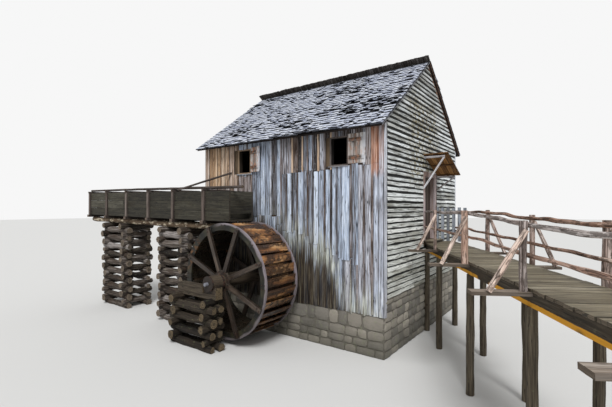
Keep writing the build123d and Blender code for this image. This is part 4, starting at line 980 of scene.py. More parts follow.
gableTrims = [  # the boards are sawn off along the roof
    (Vector((0, 0, roof["eave"] + gable["frontRise"])), Vector((0, -sin(roof["pitch"]), cos(roof["pitch"])))),
    (Vector((0, 2 * roof["ridgeY"], roof["eave"] - gable["belowRoof"])),
     Vector((0, sin(roof["pitch"]), cos(roof["pitch"]))))]
lappedCuts = {"along": 18, "across": 3, "warp": 0.014, "wane": 0.030, "rag": 0.008, "seed": 5.0}
for place, side in (("Right", 1), ("Left", -1)):
    lay("clapboards" + place, "board", lappedBoards(side, gable["seed"] + side), lappedCuts, "clapboards",
        (), gableTrims)
rest("innerWood", "left_gable_wall", "right_wall_near", "right_wall_far", "right_wall_below_door",
     "right_gable")
rest("paleTrim", "corner_boards")
rest("verge", "verge_boards")
rest("floorWood", "main_floor", "loft_floor")
print("stage: gables boarded")


# Shutters, window frames, door and canopy
def shutterLeaf(hinge, sill, opened):
    leaf = shutterSize
    swing = Matrix.Rotation(-radians(opened), 3, "Z")
    start = Vector((hinge + leaf["thick"] * sin(radians(opened)), 0, sill))
    width = leaf["width"] / len(leaf["tones"])
    pieces = []
    for i, tone in enumerate(leaf["tones"]):
        centre = start + swing @ Vector((width * (i + 0.5), -leaf["thick"] / 2, leaf["height"] / 2))
        size = (width - leaf["gap"], leaf["height"] - leaf["uneven"] * (i % 2), leaf["thick"])
        pieces.append(item(centre, facing(swing @ right, up), size, tone, stray=0.31 * i + hinge))
    for z in (leaf["ledgeIn"], leaf["height"] - leaf["ledgeIn"] - leaf["ledge"]):
        y = -leaf["thick"] - leaf["ledgeThick"] / 2
        centre = start + swing @ Vector((leaf["width"] / 2, y, z + leaf["ledge"] / 2))
        size = (leaf["ledge"], leaf["width"] - 2 * leaf["ledgeSide"], leaf["ledgeThick"])
        pieces.append(item(centre, facing(-up, swing @ right), size, leaf["ledgeTone"], stray=z))
    return pieces


shutterCuts = {"across": 3, "warp": 0.002, "wane": 0.003, "rag": 0.006}
for place, leaf in shutters.items():
    lay(place + "ShutterBoards", "board", shutterLeaf(*leaf), shutterCuts, "shutterBoards",
        ("shutter_" + place,))
rest("frameWood", "window_frames")

sillBoard = {"y": -0.030, "below": 0.048, "high": 0.028, "deep": 0.045, "past": 0.12}
sills = []
for start, end, sill, _ in windows.values():
    size = (sillBoard["high"], end - start + sillBoard["past"], sillBoard["deep"])
    spot = ((start + end) / 2, sillBoard["y"], sill - sillBoard["below"])
    sills.append(item(spot, facing(-up, right), size, 0.6, stray=start))
lay("windowSills", "board", sills, {"wane": 0.003}, "sillWood")

door = {"near": 2.806, "far": 3.614, "low": 2.680, "high": 4.564, "inner": -0.140, "thick": 0.045,
        "gap": 0.003, "tones": (0.5, 0.8, 0.3, 0.65, 0.45), "ledge": 0.130, "ledgeThick": 0.028,
        "ledgeNear": 2.846, "ledgeFar": 3.474, "levels": (2.965, 4.279)}


def doorLeaf():
    width = (door["far"] - door["near"]) / len(door["tones"])
    x, z = door["inner"] + door["thick"] / 2, (door["low"] + door["high"]) / 2
    size = (width - door["gap"], door["high"] - door["low"], door["thick"])
    pieces = [item((x, door["near"] + width * (i + 0.5), z), facing(back, up), size, tone, stray=0.17 * i)
              for i, tone in enumerate(door["tones"])]
    x, y = door["inner"] - door["ledgeThick"] / 2, (door["ledgeNear"] + door["ledgeFar"]) / 2
    size = (door["ledge"], door["ledgeFar"] - door["ledgeNear"], door["ledgeThick"])
    return pieces + [item((x, y, z), facing(up, back), size, 0.6, stray=z) for z in door["levels"]]


lay("doorBoards", "board", doorLeaf(), {"along": 8, "across": 3, "warp": 0.0015, "wane": 0.001},
    "doorBoards", ("door_leaf",), body="door")
rest("doorFrame", "door_frame")
rest("iron", "door_straps", "door_pins")

canopy = {"near": 2.620, "far": 3.950, "wall": 0.030, "reach": 0.740, "high": 5.215, "low": 4.665,
          "thick": 0.045, "skin": 0.024, "gap": 0.004, "uneven": 0.01,
          "tones": (0.5, 0.8, 0.35, 0.7, 0.55), "battenWide": 0.075, "battenShort": 0.02,
          "battens": (0.06, 0.5, 0.94)}
bracket = {"size": 0.052, "nearY": 2.675, "farY": 3.895, "nearReach": 0.640, "farReach": 0.580,
           "under": 0.045, "foot": 4.215, "wall": 0.030, "strutThin": (0.006, 0.010), "strutIn": 0.02,
           "armTone": 0.6, "nearTone": 0.9, "farTone": 0.2}


def canopyPieces():  # boards that run down the slope, on battens
    drop, depth = canopy["high"] - canopy["low"], canopy["far"] - canopy["near"]
    fall = Vector((0, depth, -drop))
    out = right.cross(fall).normalized()
    middle = Vector((0, (canopy["near"] + canopy["far"]) / 2, (canopy["high"] + canopy["low"]) / 2))
    wide, skin = canopy["reach"] - canopy["wall"], canopy["skin"]
    width = wide / len(canopy["tones"])
    pieces = []
    for i, tone in enumerate(canopy["tones"]):
        centre = middle + right * (canopy["wall"] + width * (i + 0.5)) - out * (skin / 2)
        size = (width - canopy["gap"], fall.length - canopy["uneven"] * (i % 2), skin)
        pieces.append(item(centre, facing(right, fall), size, tone, stray=0.23 * i))
    batten = canopy["thick"] * cos(atan2(drop, depth)) - skin
    for share in canopy["battens"]:
        spot = middle + fall * (share - 0.5) - out * (skin + batten / 2)
        spot += right * (canopy["wall"] + canopy["reach"]) / 2
        size = (canopy["battenWide"], wide - canopy["battenShort"], batten)
        pieces.append(item(spot, facing(fall, -right), size, 0.3, stray=share))
    return pieces


def bracketPieces():  # a level arm and a slanting strut on each side of the door
    fall = (canopy["high"] - canopy["low"]) / (canopy["far"] - canopy["near"])
    size, half = bracket["size"], bracket["size"] / 2
    pieces = []
    for y, reach, tone in ((bracket["nearY"], bracket["nearReach"], bracket["nearTone"]),
                           (bracket["farY"], bracket["farReach"], bracket["farTone"])):
        top = canopy["high"] - bracket["under"] - fall * (y + half - canopy["near"])
        start, end = Vector((bracket["wall"], y, bracket["foot"])), Vector((reach - half, y, top - size))
        pieces.append(item(((bracket["wall"] + reach) / 2, y, top - half), facing(-back, right),
                           (size, reach - bracket["wall"], size), bracket["armTone"], stray=y))
        thinX, thinY = bracket["strutThin"]
        pieces.append(item((start + end) / 2, facing(back, end - start),
                           (size - thinX, (end - start).length + bracket["strutIn"], size - thinY), tone,
                           stray=y + 1))
    return pieces


lay("canopyBoards", "board", canopyPieces(),
    {"along": 8, "across": 3, "warp": 0.004, "wane": 0.004, "rag": 0.02}, "canopyBoards",
    ("door_canopy",))
lay("canopyBrackets", "board", bracketPieces(),
    {"along": 10, "across": 3, "warp": 0.004, "wane": 0.004, "bow": 0.004}, "bracketWood",
    ("canopy_brackets",), [((bracket["wall"], 0, 0), -right)])

doorStep = {"x": 0.165, "y": 3.21, "levels": (  # height of the middle, size, tone and stray
    (2.646, (0.268, 0.938, 0.038), 0.6, 0.3), (2.607, (0.24, 0.90, 0.040), 0.3, 0.7))}
steps = [item((doorStep["x"], doorStep["y"], z), facing(-right, back), size, tone, stray=stray)
         for z, size, tone, stray in doorStep["levels"]]
lay("doorStep", "board", steps, {"along": 8, "across": 3, "wane": 0.003}, "deckBoards",
    ("door_step",))
print("stage: openings dressed")


# Waterwheel
wheel = {"x": wheelCentre[0], "z": wheelCentre[1], "front": -1.551, "width": 1.248, "rim": 1.546,
         "arms": 8, "arm": (0.125, 0.070), "armIn": 0.002, "armEnd": 0.026, "hub": 0.243,
         "hubBlock": (0.150, 0.088), "hubThin": 0.012, "axle": 0.190, "axleFront": -2.070, "axleBack": 0.152,
         "felloes": 16, "armUneven": 0.004, "hubTone": 0.3}
wheel["back"] = wheel["front"] + wheel["width"]
hubMiddle = Vector((wheel["x"], 0, wheel["z"]))
bolt = {"size": (0.032, 0.016, 0.032), "out": 0.005, "felloeSize": (0.024, 0.014, 0.024), "felloeOut": 0.004,
        "taper": -0.2, "onArms": ((0.262, -0.028), (0.262, 0.028), (1.400, 0.022), (1.480, -0.022)),
        "onFelloes": (1.405, 1.497), "besideJoint": 2.1}  # reach and shift along an arm, reach on a felloe


def spoke(angle):  # from the axle outwards, in degrees; 0 is up, turning towards +X
    return Vector((sin(radians(angle)), 0, cos(radians(angle))))


def wheelArms():
    (wide, thick), step = wheel["arm"], 360 / wheel["arms"]
    low, high = wheel["axle"] + wheel["armIn"], wheel["rim"] - wheel["armEnd"]
    pieces = []
    for y in (wheel["front"] - thick / 2, wheel["back"] + thick / 2):
        for i in range(wheel["arms"]):
            out = spoke(step * (i + 0.5))
            size = (wide, high - low, thick - (wheel["armUneven"] if i % 2 else 0))
            tone = 0.35 + 0.5 * ((i * 3) % 8) / 8
            pieces.append(item(hubMiddle + out * (low + high) / 2 + back * y, facing(out.cross(back), out),
                               size, tone, stray=0.13 * i + y))
        for i in range(wheel["arms"]):  # hub plate, in sawn segments between the arms
            out = spoke(step * i)
            size = (*wheel["hubBlock"], thick - wheel["hubThin"])
            pieces.append(item(hubMiddle + out * wheel["hub"] + back * y, facing(out.cross(back), out), size,
                               wheel["hubTone"], stray=0.37 * i))
    return pieces


def boltHeads():  # square-headed bolts through the arms, the felloes and the hub
    bolts = []
    for face, side in ((wheel["front"], -1), (wheel["back"], 1)):
        y = face + side * wheel["arm"][1] + side * bolt["out"]
        for i in range(wheel["arms"]):
            out = spoke(360 / wheel["arms"] * (i + 0.5))
            aside = out.cross(back)
            for reach, shift in bolt["onArms"]:
                spot = hubMiddle + out * reach + aside * shift + back * y
                bolts.append(item(spot, facing(aside, back * side), bolt["size"],
                                  taper=bolt["taper"], stray=i))
        y = face + side * bolt["felloeOut"]
        for i in range(0, wheel["felloes"], 2):
            for turn in (-bolt["besideJoint"], bolt["besideJoint"]):
                out = spoke(360 / wheel["felloes"] * i + turn)
                for reach in bolt["onFelloes"]:
                    spot = hubMiddle + out * reach + back * y
                    bolts.append(item(spot, facing(out.cross(back), back * side), bolt["felloeSize"],
                                      taper=bolt["taper"], stray=i))
    return bolts


def ironBand(name, middle, width, thick, sides=48):  # a forged hoop about the axle
    radius = wheel["axle"] + 0.0005
    work = bmesh.new()
    for i in range(sides):
        for r, y in ((radius, -width / 2), (radius + thick, -width / 2 + thick / 3),
                     (radius + thick, width / 2 - thick / 3), (radius, width / 2)):
            work.verts.new(Vector((wheel["x"], middle + y, wheel["z"])) + spoke(360 * i / sides) * r)
    work.verts.ensure_lookup_table()
    for i in range(sides):
        j = (i + 1) % sides
        for k in range(4):
            m = (k + 1) % 4
            work.faces.new([work.verts[v] for v in (4 * i + k, 4 * i + m, 4 * j + m, 4 * j + k)])
    bmesh.ops.recalc_face_normals(work, faces=work.faces)
    mesh = bpy.data.meshes.new(name)
    work.to_mesh(mesh)
    work.free()
    mesh.materials.append(finish["iron"])
    rideAs(name, mesh, "wheel")


lay("wheelArms", "board", wheelArms(), {"along": 8, "across": 3, "warp": 0.003, "wane": 0.006, "bow": 0.002},
    "wheelTimber", ("wheel_arms",), body="wheel")
rest("shroudWood", "shroud_front", "shroud_rear")
rest("bucketBoards", "wheel_sole", "bucket_risers", "bucket_lips")
rest("axleWood", "wheel_axle")
rest("blockTimber", "wheel_bearings")
axleBands = {"axleBandFront": (wheel["axleFront"] + 0.025, 0.036, 0.009),
             "axleBandShoulder": (wheel["front"] - 0.130, 0.050, 0.010),
             "axleBandRear": (wheel["axleBack"] - 0.060, 0.050, 0.010)}  # middle, width, thickness
for name, band in axleBands.items():
    ironBand(name, *band)
lay("wheelBolts", "board", boltHeads(), {"along": 2}, "iron", body="wheel")
print("stage: wheel dressed")

# Notched log cribs and the pier
crib = {"log": 0.170, "logSpread": (1.08, 1.30), "width": 0.190, "pitch": 0.150, "past": 0.110,
        "pastSpread": 0.035, "widthSpread": 0.018, "wider": 1.02, "lengthSpread": 0.05, "taper": 0.12,
        "skew": 0.006, "tone": (0.5, 0.22), "topAt": 0.055, "topClear": 0.0003}
cribs = {"Near": (0.237, 0.398, 49), "Far": (0.661, 0.843, 48)}  # from and to, in flume lengths, and seed
flume = {"endX": -4.040, "length": 8.260, "front": -1.230, "width": 0.930, "bottom": 3.246, "height": 0.859,
         "rise": 0.014, "board": 0.050, "outlet": 0.170, "posts": (0.131, 0.312, 0.481, 0.651, 0.825, 0.991),
         "post": (0.120, 0.045), "tie": 0.062, "tiePast": 0.03, "bearer": (0.140, 0.090), "bearerPast": 0.090,
         "beam": 0.180, "beamIn": 0.190, "beamStart": 0.850, "planks": 3, "plankLength": (2.3, 3.1),
         "shortest": 0.9, "plankGap": 0.003, "rowGap": 0.002, "tones": (0.15, 0.9), "bottomBoards": 4,
         "bottomTone": 0.3, "endTones": (0.35, 0.6, 0.8), "endGaps": (0.005, 0.004), "tieTone": 0.55,
         "bearerTone": 0.3, "beamTone": 0.7, "seed": 51}
flume["back"] = flume["front"] + flume["width"]
flumeMiddle = flume["front"] + flume["width"] / 2
flumeTurn = Matrix.Rotation(atan(flume["rise"]), 3, "Y")
flumeFoot = Vector((flume["endX"], 0, flume["bottom"]))


def onFlume(x, y, z):
    return flumeFoot + flumeTurn @ Vector((x, y, z))


def cribLogs(x0, x1, y0, y1, top, seed):  # the same stack as the solids, log for log
    dice = Random(seed)
    courses = 2 * round((top - crib["log"]) / crib["pitch"] / 2 + 0.5)
    pitch = (top - crib["log"]) / (courses - 1)
    logs = []
    for course in range(courses):
        z = crib["log"] / 2 + course * pitch
        for side in (0, 1):
            past = crib["past"] + crib["pastSpread"] * sin(2.3 * course + 1.7 * side)
            width = crib["width"] + crib["widthSpread"] * sin(2.3 * (course + 1) + 1.7 * (1 - side))
            tone = min(max(dice.gauss(*crib["tone"]), 0), 1)
            high = crib["log"] * dice.uniform(*crib["logSpread"])
            if course % 2 == 0:
                y = (y0 + width / 2, y1 - width / 2)[side]
                centre, along, length = ((x0 + x1) / 2, y, z), right, x1 - x0 + 2 * past
            else:
                x = (x0 + width / 2, x1 - width / 2)[side]
                centre, along, length = (x, (y0 + y1) / 2, z), back, y1 - y0 + 2 * past
            turn = facing(along.cross(up), along) @ Matrix.Rotation(dice.gauss(0, crib["skew"]), 3, "Z")
            length += dice.uniform(-crib["lengthSpread"], crib["lengthSpread"])
            logs.append(item(centre, turn, (width * crib["wider"], length, high), tone,
                             taper=dice.uniform(-crib["taper"], crib["taper"]), stray=dice.random()))
    return logs


ground = [((0, 0, 0), -up)]
logCuts = {"along": 12, "across": 8, "wane": 0.078, "bow": 0.014, "rag": 0.040, "seed": 17.0}
for place, (near, far, seed) in cribs.items():
    highEnd, lowEnd = -near * flume["length"], -far * flume["length"]
    top = onFlume(highEnd - crib["topAt"], 0, -flume["bearer"][1] - flume["beam"])[2] - crib["topClear"]
    logs = cribLogs(flume["endX"] + lowEnd, flume["endX"] + highEnd, flume["front"], flume["back"], top, seed)
    lay("crib" + place, "log", logs, logCuts, "cribLogs", ("crib_" + place.lower(),), ground)

pier = {"left": wheel["x"] - 1.250, "right": wheel["x"] + 0.215, "back": wheel["front"] - 0.264,
        "depth": 0.430, "beamTop": wheel["z"] - 0.090, "beamHeight": 0.300, "beamWidth": 0.220,
        "beamPast": 0.060, "notch": 0.020, "axlePast": 0.035, "saddle": 0.2405,
        "saddleBase": wheel["z"] - 0.270, "tone": 0.85, "seed": 44}
pier["beamLow"] = pier["beamTop"] - pier["beamHeight"]
lay("wheelPier", "log", cribLogs(pier["left"], pier["right"], pier["back"] - pier["depth"], pier["back"],
                                 pier["beamLow"] + pier["notch"], pier["seed"]),
    logCuts, "pierLogs", (), ground)


def pierBeam():  # squared, with a seat cut for the axle's saddle
    y = wheel["axleFront"] + pier["axlePast"] + pier["beamWidth"] / 2
    low, seat, top = pier["beamLow"], pier["saddleBase"], pier["beamTop"]
    start, end = pier["left"] - pier["beamPast"], pier["right"] + pier["beamPast"]
    seatStart, seatEnd = wheel["x"] - pier["saddle"], wheel["x"] + pier["saddle"]
    return [item(((a + b) / 2, y, (base + high) / 2), facing(-back, right),
                 (pier["beamWidth"], b - a, high - base), pier["tone"], stray=0.2)
            for a, b, base, high in ((start, end, low, seat), (start, seatStart, seat, top),
                                     (seatEnd, end, seat, top))]


lay("pierBeam", "board", pierBeam(), {"along": 10, "across": 4, "wane": 0.010, "warp": 0.004}, "pierLogs",
    ("wheel_pier",))
print("stage: cribs stacked")


# Flume
def flumeBoards():
    dice = Random(flume["seed"])
    along = flumeTurn @ -right
    thick, high = flume["board"], flume["height"] / flume["planks"]
    pieces = []
    for y, out in ((flume["front"] + thick / 2, -back), (flume["back"] - thick / 2, back)):
        turn = facing(along.cross(out) * -1, along)
        for row in range(flume["planks"]):
            x = 0.0
            while x < flume["length"] - 0.05:
                step = dice.uniform(*flume["plankLength"])
                end = flume["length"] if flume["length"] - x - step < flume["shortest"] else x + step
                size = (high - flume["rowGap"], end - x - flume["plankGap"], thick)
                pieces.append(item(onFlume(-(x + end) / 2, y, high * (row + 0.5)), turn, size,
                                   dice.uniform(*flume["tones"]), stray=dice.random()))
                x = end
    inner, count = flume["width"] - 2 * thick, flume["bottomBoards"]
    for i in range(count):
        y = flume["front"] + thick + inner * (i + 0.5) / count
        size = (inner / count - flume["plankGap"], flume["length"], thick)
        pieces.append(item(onFlume(-flume["length"] / 2, y, thick / 2), facing(back, along), size,
                           flume["bottomTone"], stray=0.3 * i))
    rise = thick + flume["outlet"]
    high = (flume["height"] - rise) / len(flume["endTones"])
    gapHigh, gapLong = flume["endGaps"]
    for i, tone in enumerate(flume["endTones"]):  # end boards above the outlet
        pieces.append(item(onFlume(-thick / 2, flumeMiddle, rise + high * (i + 0.5)),
                           facing(-(flumeTurn @ up), back), (high - gapHigh, inner - gapLong, thick), tone,
                           stray=0.41 * i))
    return pieces


def flumeTimbers():
    upright, level = flumeTurn @ up, flumeTurn @ right
    (width, thick), tie, (bearerWide, bearerHigh) = flume["post"], flume["tie"], flume["bearer"]
    tieLong = flume["width"] + 2 * thick + 2 * flume["tiePast"]
    bearerLong = flume["width"] + 2 * flume["bearerPast"]
    posts, others = [], []
    for i, share in enumerate(flume["posts"]):
        x = -share * flume["length"]
        for y in (flume["front"] - thick / 2, flume["back"] + thick / 2):
            posts.append(item(onFlume(x, y, flume["height"] / 2), facing(level, upright),
                              (width, flume["height"], thick), 0.4 + 0.1 * (i % 4), stray=0.19 * i + y))
        others.append(item(onFlume(x, flumeMiddle, flume["height"] + tie / 2), facing(-level, back),
                           (tie, tieLong, tie), flume["tieTone"], stray=0.3 * i))
        others.append(item(onFlume(x, flumeMiddle, -bearerHigh / 2), facing(-level, back),
                           (bearerWide, bearerLong, bearerHigh), flume["bearerTone"], stray=0.7 * i))
    return posts, others


def flumeBeams():
    z, radius, tone = -flume["bearer"][1] - flume["beam"] / 2, flume["beam"] / 2, flume["beamTone"]
    return [pole(onFlume(-flume["length"], y, z), onFlume(-flume["beamStart"], y, z), radius, tone, stray=y)
            for y in (flume["front"] + flume["beamIn"], flume["back"] - flume["beamIn"])]


lay("flumeBoards", "board", flumeBoards(),
    {"along": 14, "across": 3, "warp": 0.005, "wane": 0.004, "rag": 0.004}, "flumeBoards",
    ("flume_sides", "flume_bottom", "flume_end"))
timberCuts = {"along": 8, "across": 3, "warp": 0.003, "wane": 0.005, "rag": 0.010}
posts, others = flumeTimbers()
lay("flumePosts", "board", posts, timberCuts, "flumeTimber", ("flume_posts",))
lay("flumeCrossTimbers", "board", others, timberCuts, "flumeTimber",
    ("flume_ties", "flume_bearers"))
lay("flumeBeams", "log", flumeBeams(), {"along": 30, "across": 12, "wane": 0.045, "bow": 0.008, "rag": 0.01},
    "flumeBeam", ("flume_beams",))

railPole = {"radius": 0.040, "in": 0.090, "past": 0.430, "gap": 0.0003}
lever = {"radius": 0.032, "wallX": -5.250, "wallY": -0.020, "lean": 0.560, "steep": 0.393, "past": 0.350}
poleY = flume["front"] + railPole["in"]
poleZ = flume["height"] + flume["tie"] + railPole["radius"] + railPole["gap"]
lift = (railPole["radius"] + lever["radius"] + 2 * railPole["gap"]) * hypot(1, lever["steep"])
crossing = onFlume(lever["wallX"] - lever["lean"] - flume["endX"], poleY, poleZ)[2] + lift


def leverPoint(y):  # the lever slants from the wall over the rail pole
    return (lever["wallX"] - lever["lean"] * y / poleY, y, crossing + lever["steep"] * (y - poleY))


rail = pole(onFlume(-flume["length"], poleY, poleZ), onFlume(railPole["past"], poleY, poleZ),
            railPole["radius"], 0.4, 0.1, 0.2)
lay("flumeRailPole", "log", [rail], {"along": 40, "across": 10, "wane": 0.012, "bow": 0.012}, "darkPole",
    ("flume_rail_pole",))
gate = pole(leverPoint(lever["wallY"]), leverPoint(poleY - lever["past"]), lever["radius"], 0.5, -0.1, 0.6)
lay("gateLever", "log", [gate], {"along": 18, "across": 10, "wane": 0.010, "bow": 0.008}, "darkPole",
    ("gate_lever",))
print("stage: flume built")


# Walkway: s runs along it from its near corner, t across it, z up
walk = {"x": 0.726, "y": 1.505, "angle": radians(-59.49), "deck": 2.587, "board": 0.045, "near": 0.075,
        "far": 1.100, "backY": 3.950, "past": 0.260, "deckBoard": (0.135, 0.195), "deckGap": 0.007,
        "stringer": (0.060, 0.200), "outrigger": (0.190, 0.050), "outriggerIn": 0.055, "postAbove": 0.060,
        "topRail": 0.034, "lowRail": 0.029, "brace": 0.036, "braceBelow": 0.060, "braceFoot": 0.005,
        "support": 0.075, "firstBoard": 1.2, "narrowest": 0.03, "nearSpread": 0.02,
        "farSpread": (-0.012, 0.004), "levelSpread": (-0.003, 0.002), "tone": (0.5, 0.18), "intoHouse": 0.2,
        "stringerThin": 0.002, "stout": 1.02, "braceStout": 1.04, "lowRailLook": (0.45, 0.85), "seed": 61}
nearRow = {"line": 0.0, "side": 1, "places": (0.0, 2.438, 4.877, 7.315),
           "radii": (0.035, 0.065, 0.050, 0.065), "tops": (0.930, 0.930, 0.815, 0.815),
           "lows": (0.484, 0.469, 0.419, 0.390), "outrigger": 0.680, "brace": 0.430, "topLook": (0.72, 0.1),
           "postWarm": (0.4, 0.85, 0.1, 1.0), "braceLook": (1.0, 0.8)}
farRow = {"line": 1.175, "side": -1, "places": (0.361, 2.585, 4.643, 6.736),
          "radii": (0.047, 0.048, 0.068, 0.060), "tops": (0.930, 0.850, 0.815, 0.815),
          "lows": (0.435, 0.390, 0.360, 0.360), "outrigger": 0.480, "brace": 0.330, "topLook": (0.5, 0.85),
          "postWarm": (0.35, 0.35, 0.35, 0.35), "braceLook": (0.6, 0.4)}  # looks are tone and warmth
walkAlong = Vector((cos(walk["angle"]), sin(walk["angle"]), 0))
walkAcross = Vector((-walkAlong.y, walkAlong.x, 0))
walkFoot = Vector((walk["x"], walk["y"], 0))
walkEnd = nearRow["places"][-1] + walk["past"]
deckUnder = walk["deck"] - walk["board"]


def onWalk(s, t, z):
    return walkFoot + walkAlong * s + walkAcross * t + up * z


def sAtX(t, x):
    return (x - onWalk(0, t, 0).x) / walkAlong.x


def sAtY(t, y):
    return (y - onWalk(0, t, 0).y) / walkAlong.y


def deckBoards():
    dice = Random(walk["seed"])
    pieces = []
    s = sAtY(walk["far"], walk["backY"]) - walk["firstBoard"]
    while s < walkEnd:
        width = min(dice.uniform(*walk["deckBoard"]), walkEnd - s)
        middle = s + width / 2
        start = max(walk["near"], (0 - onWalk(middle, 0, 0).x) / walkAcross.x - 0.1)
        if width > walk["narrowest"]:
            far = walk["far"] + dice.uniform(*walk["farSpread"])
            near = start - (dice.uniform(0, walk["nearSpread"]) if start == walk["near"] else 0)
            z = walk["deck"] - walk["board"] / 2 + dice.uniform(*walk["levelSpread"])
            size = (width - walk["deckGap"], far - near, walk["board"])
            pieces.append(item(onWalk(middle, (near + far) / 2, z), facing(walkAlong, walkAcross), size,
                               dice.gauss(*walk["tone"]), stray=dice.random()))
        s += width
    return pieces


def stringers():
    wide, high = walk["stringer"]
    pieces = []
    for t, face in ((walk["near"] + wide / 2, sAtX(walk["near"], 0)),
                    (walk["far"] - wide / 2, sAtY(walk["far"], walk["backY"]))):
        start = face - walk["intoHouse"]
        size = (high - walk["stringerThin"], walkEnd - start, wide)
        pieces.append(item(onWalk((start + walkEnd) / 2, t, deckUnder - high / 2), facing(-up, walkAlong),
                           size, stray=t))
    return pieces


def outriggers():
    width, thick = walk["outrigger"]
    pieces = []
    for row, edge in ((nearRow, walk["near"]), (farRow, walk["far"])):
        inner = edge + row["side"] * walk["outriggerIn"]
        outer = row["line"] - row["side"] * row["outrigger"]
        for i, s in enumerate(row["places"]):
            pieces.append(item(onWalk(s, (inner + outer) / 2, deckUnder - thick / 2),
                               facing(walkAlong, walkAcross), (width, abs(outer - inner), thick),
                               0.35 + 0.15 * (i % 4), stray=0.23 * i + inner))
    return pieces


def railsOf(row, heights, radius, first, dice, tone, warm):
    offsets = [row["line"] + row["side"] * (r + radius) for r in row["radii"]]
    knots = [(first, offsets[0], heights[0])] + list(zip(row["places"], offsets, heights))
    knots.append((row["places"][-1] + walk["past"], offsets[-1], heights[-1]))
    logs = []
    for (s0, t0, z0), (s1, t1, z1) in zip(knots, knots[1:]):
        start, end = onWalk(s0, t0, walk["deck"] + z0), onWalk(s1, t1, walk["deck"] + z1)
        logs.append(pole(start, end, radius * walk["stout"], dice.gauss(tone, 0.15),
                         dice.uniform(-0.15, 0.15), dice.random(), -0.003, warm))
    return logs


def walkPoles():
    dice = Random(walk["seed"] + 1)
    posts, rails, braces, supports = [], [], [], []
    for row, first in ((nearRow, sAtX(0.07, 0.030)), (farRow, sAtY(farRow["line"], walk["backY"]) + 0.1)):
        line, side, thick = row["line"], row["side"], walk["brace"]
        rails += railsOf(row, row["tops"], walk["topRail"], first, dice, *row["topLook"])
        rails += railsOf(row, row["lows"], walk["lowRail"], first, dice, *walk["lowRailLook"])
        braceTone, braceWarm = row["braceLook"]
        for s, r, high, warm in zip(row["places"], row["radii"], row["tops"], row["postWarm"]):
            top = walk["deck"] + high
            posts.append(pole(onWalk(s, line, deckUnder), onWalk(s, line, top + walk["postAbove"]),
                              r * walk["stout"], dice.gauss(0.5, 0.15), -0.08, dice.random(), warm=warm))
            beside = s + r + thick
            foot = onWalk(beside, line - side * (row["brace"] + thick), deckUnder + walk["braceFoot"])
            head = onWalk(beside, line, top - walk["braceBelow"])
            braces.append(pole(foot, head, thick * walk["braceStout"], dice.gauss(braceTone, 0.1), -0.1,
                               dice.random(), warm=braceWarm))
    nearT, farT = walk["near"] + walk["stringer"][0] / 2, walk["far"] - walk["stringer"][0] / 2
    for t, first, row in ((nearT, sAtX(nearT, 0), nearRow), (farT, sAtY(farT, walk["backY"]), farRow)):
        for s in (first + 2 * walk["support"], *row["places"]):
            supports.append(pole(onWalk(s, t, 0.0), onWalk(s, t, deckUnder - walk["stringer"][1]),
                                 walk["support"], dice.gauss(0.45, 0.15), -0.06, dice.random()))
    return posts, rails, braces, supports


houseCuts = [((0.004, 0, 0), -right), ((0, walk["backY"], 0), back)]  # sawn off at the gable and the guard
lay("deckBoards", "board", deckBoards(),
    {"along": 9, "across": 3, "warp": 0.004, "wane": 0.003, "rag": 0.008}, "deckBoards",
    ("walkway_deck",), houseCuts)
lay("walkwayStringers", "board", stringers(), {"along": 30, "across": 3, "warp": 0.004, "wane": 0.004},
    "edgeTimber", ("walkway_stringers",), houseCuts)
lay("walkwayOutriggers", "board", outriggers(),
    {"along": 9, "across": 3, "warp": 0.004, "wane": 0.005, "rag": 0.01}, "outriggerWood",
    ("walkway_outriggers",))

posts, rails, braces, supports = walkPoles()
poleCuts = {"along": 16, "across": 10, "wane": 0.016, "bow": 0.010, "rag": 0.008, "seed": 23.0}
lay("walkwayPosts", "log", posts, poleCuts, "railLogs", ("walkway_posts",))
lay("walkwayRails", "log", rails, {**poleCuts, "along": 24, "bow": 0.030}, "railLogs",
    ("top_rails", "lower_rails"), [((0.031, 0, 0), -right)])
lay("walkwayBraces", "log", braces, poleCuts, "railLogs", ("braces",))
lay("walkwaySupports", "log", supports, {**poleCuts, "wane": 0.02}, "supportLogs",
    ("walkway_supports",), ground)

guard = {"length": 0.900, "height": 1.070, "picket": (0.090, 0.022), "pitch": 0.168, "rail": 0.060,
         "railGap": 0.004, "levels": (0.300, 0.850), "off": 0.001,
         "shorter": (0.0, 0.02, 0.006, 0.03, 0.012, 0.024), "tones": (0.6, 0.8, 0.45, 0.9, 0.7, 0.5)}


def pickets():
    y, deck, thick = walk["backY"] - guard["rail"], walk["deck"], guard["rail"] - guard["railGap"]
    pieces = []
    for level in guard["levels"]:
        centre = (guard["length"] / 2 + guard["off"], y + guard["rail"] / 2, deck + level + guard["rail"] / 2)
        pieces.append(item(centre, facing(-back, right), (thick, guard["length"], thick), 0.35, stray=level))
    width, depth = guard["picket"]
    for i, (shorter, tone) in enumerate(zip(guard["shorter"], guard["tones"])):
        high = guard["height"] - shorter
        centre = (guard["off"] + i * guard["pitch"] + width / 2, y - depth / 2, deck + high / 2)
        pieces.append(item(centre, facing(right, up), (width, high, depth), tone, stray=0.21 * i))
    return pieces


lay("picketGuard", "board", pickets(), {"along": 8, "across": 3, "warp": 0.003, "wane": 0.003, "rag": 0.01},
    "pickets", ("picket_guard",))
print("stage: walkway built")

# Fieldstone walls
stones = {"joint": 0.022, "proud": 0.026, "proudSpread": 0.006, "deep": 0.16, "width": (0.24, 0.52),
          "narrowest": 0.16, "course": (0.17, 0.27), "lowest": 0.10, "leftOver": 0.05, "endOver": 0.01,
          "skew": 0.02, "seed": 71}


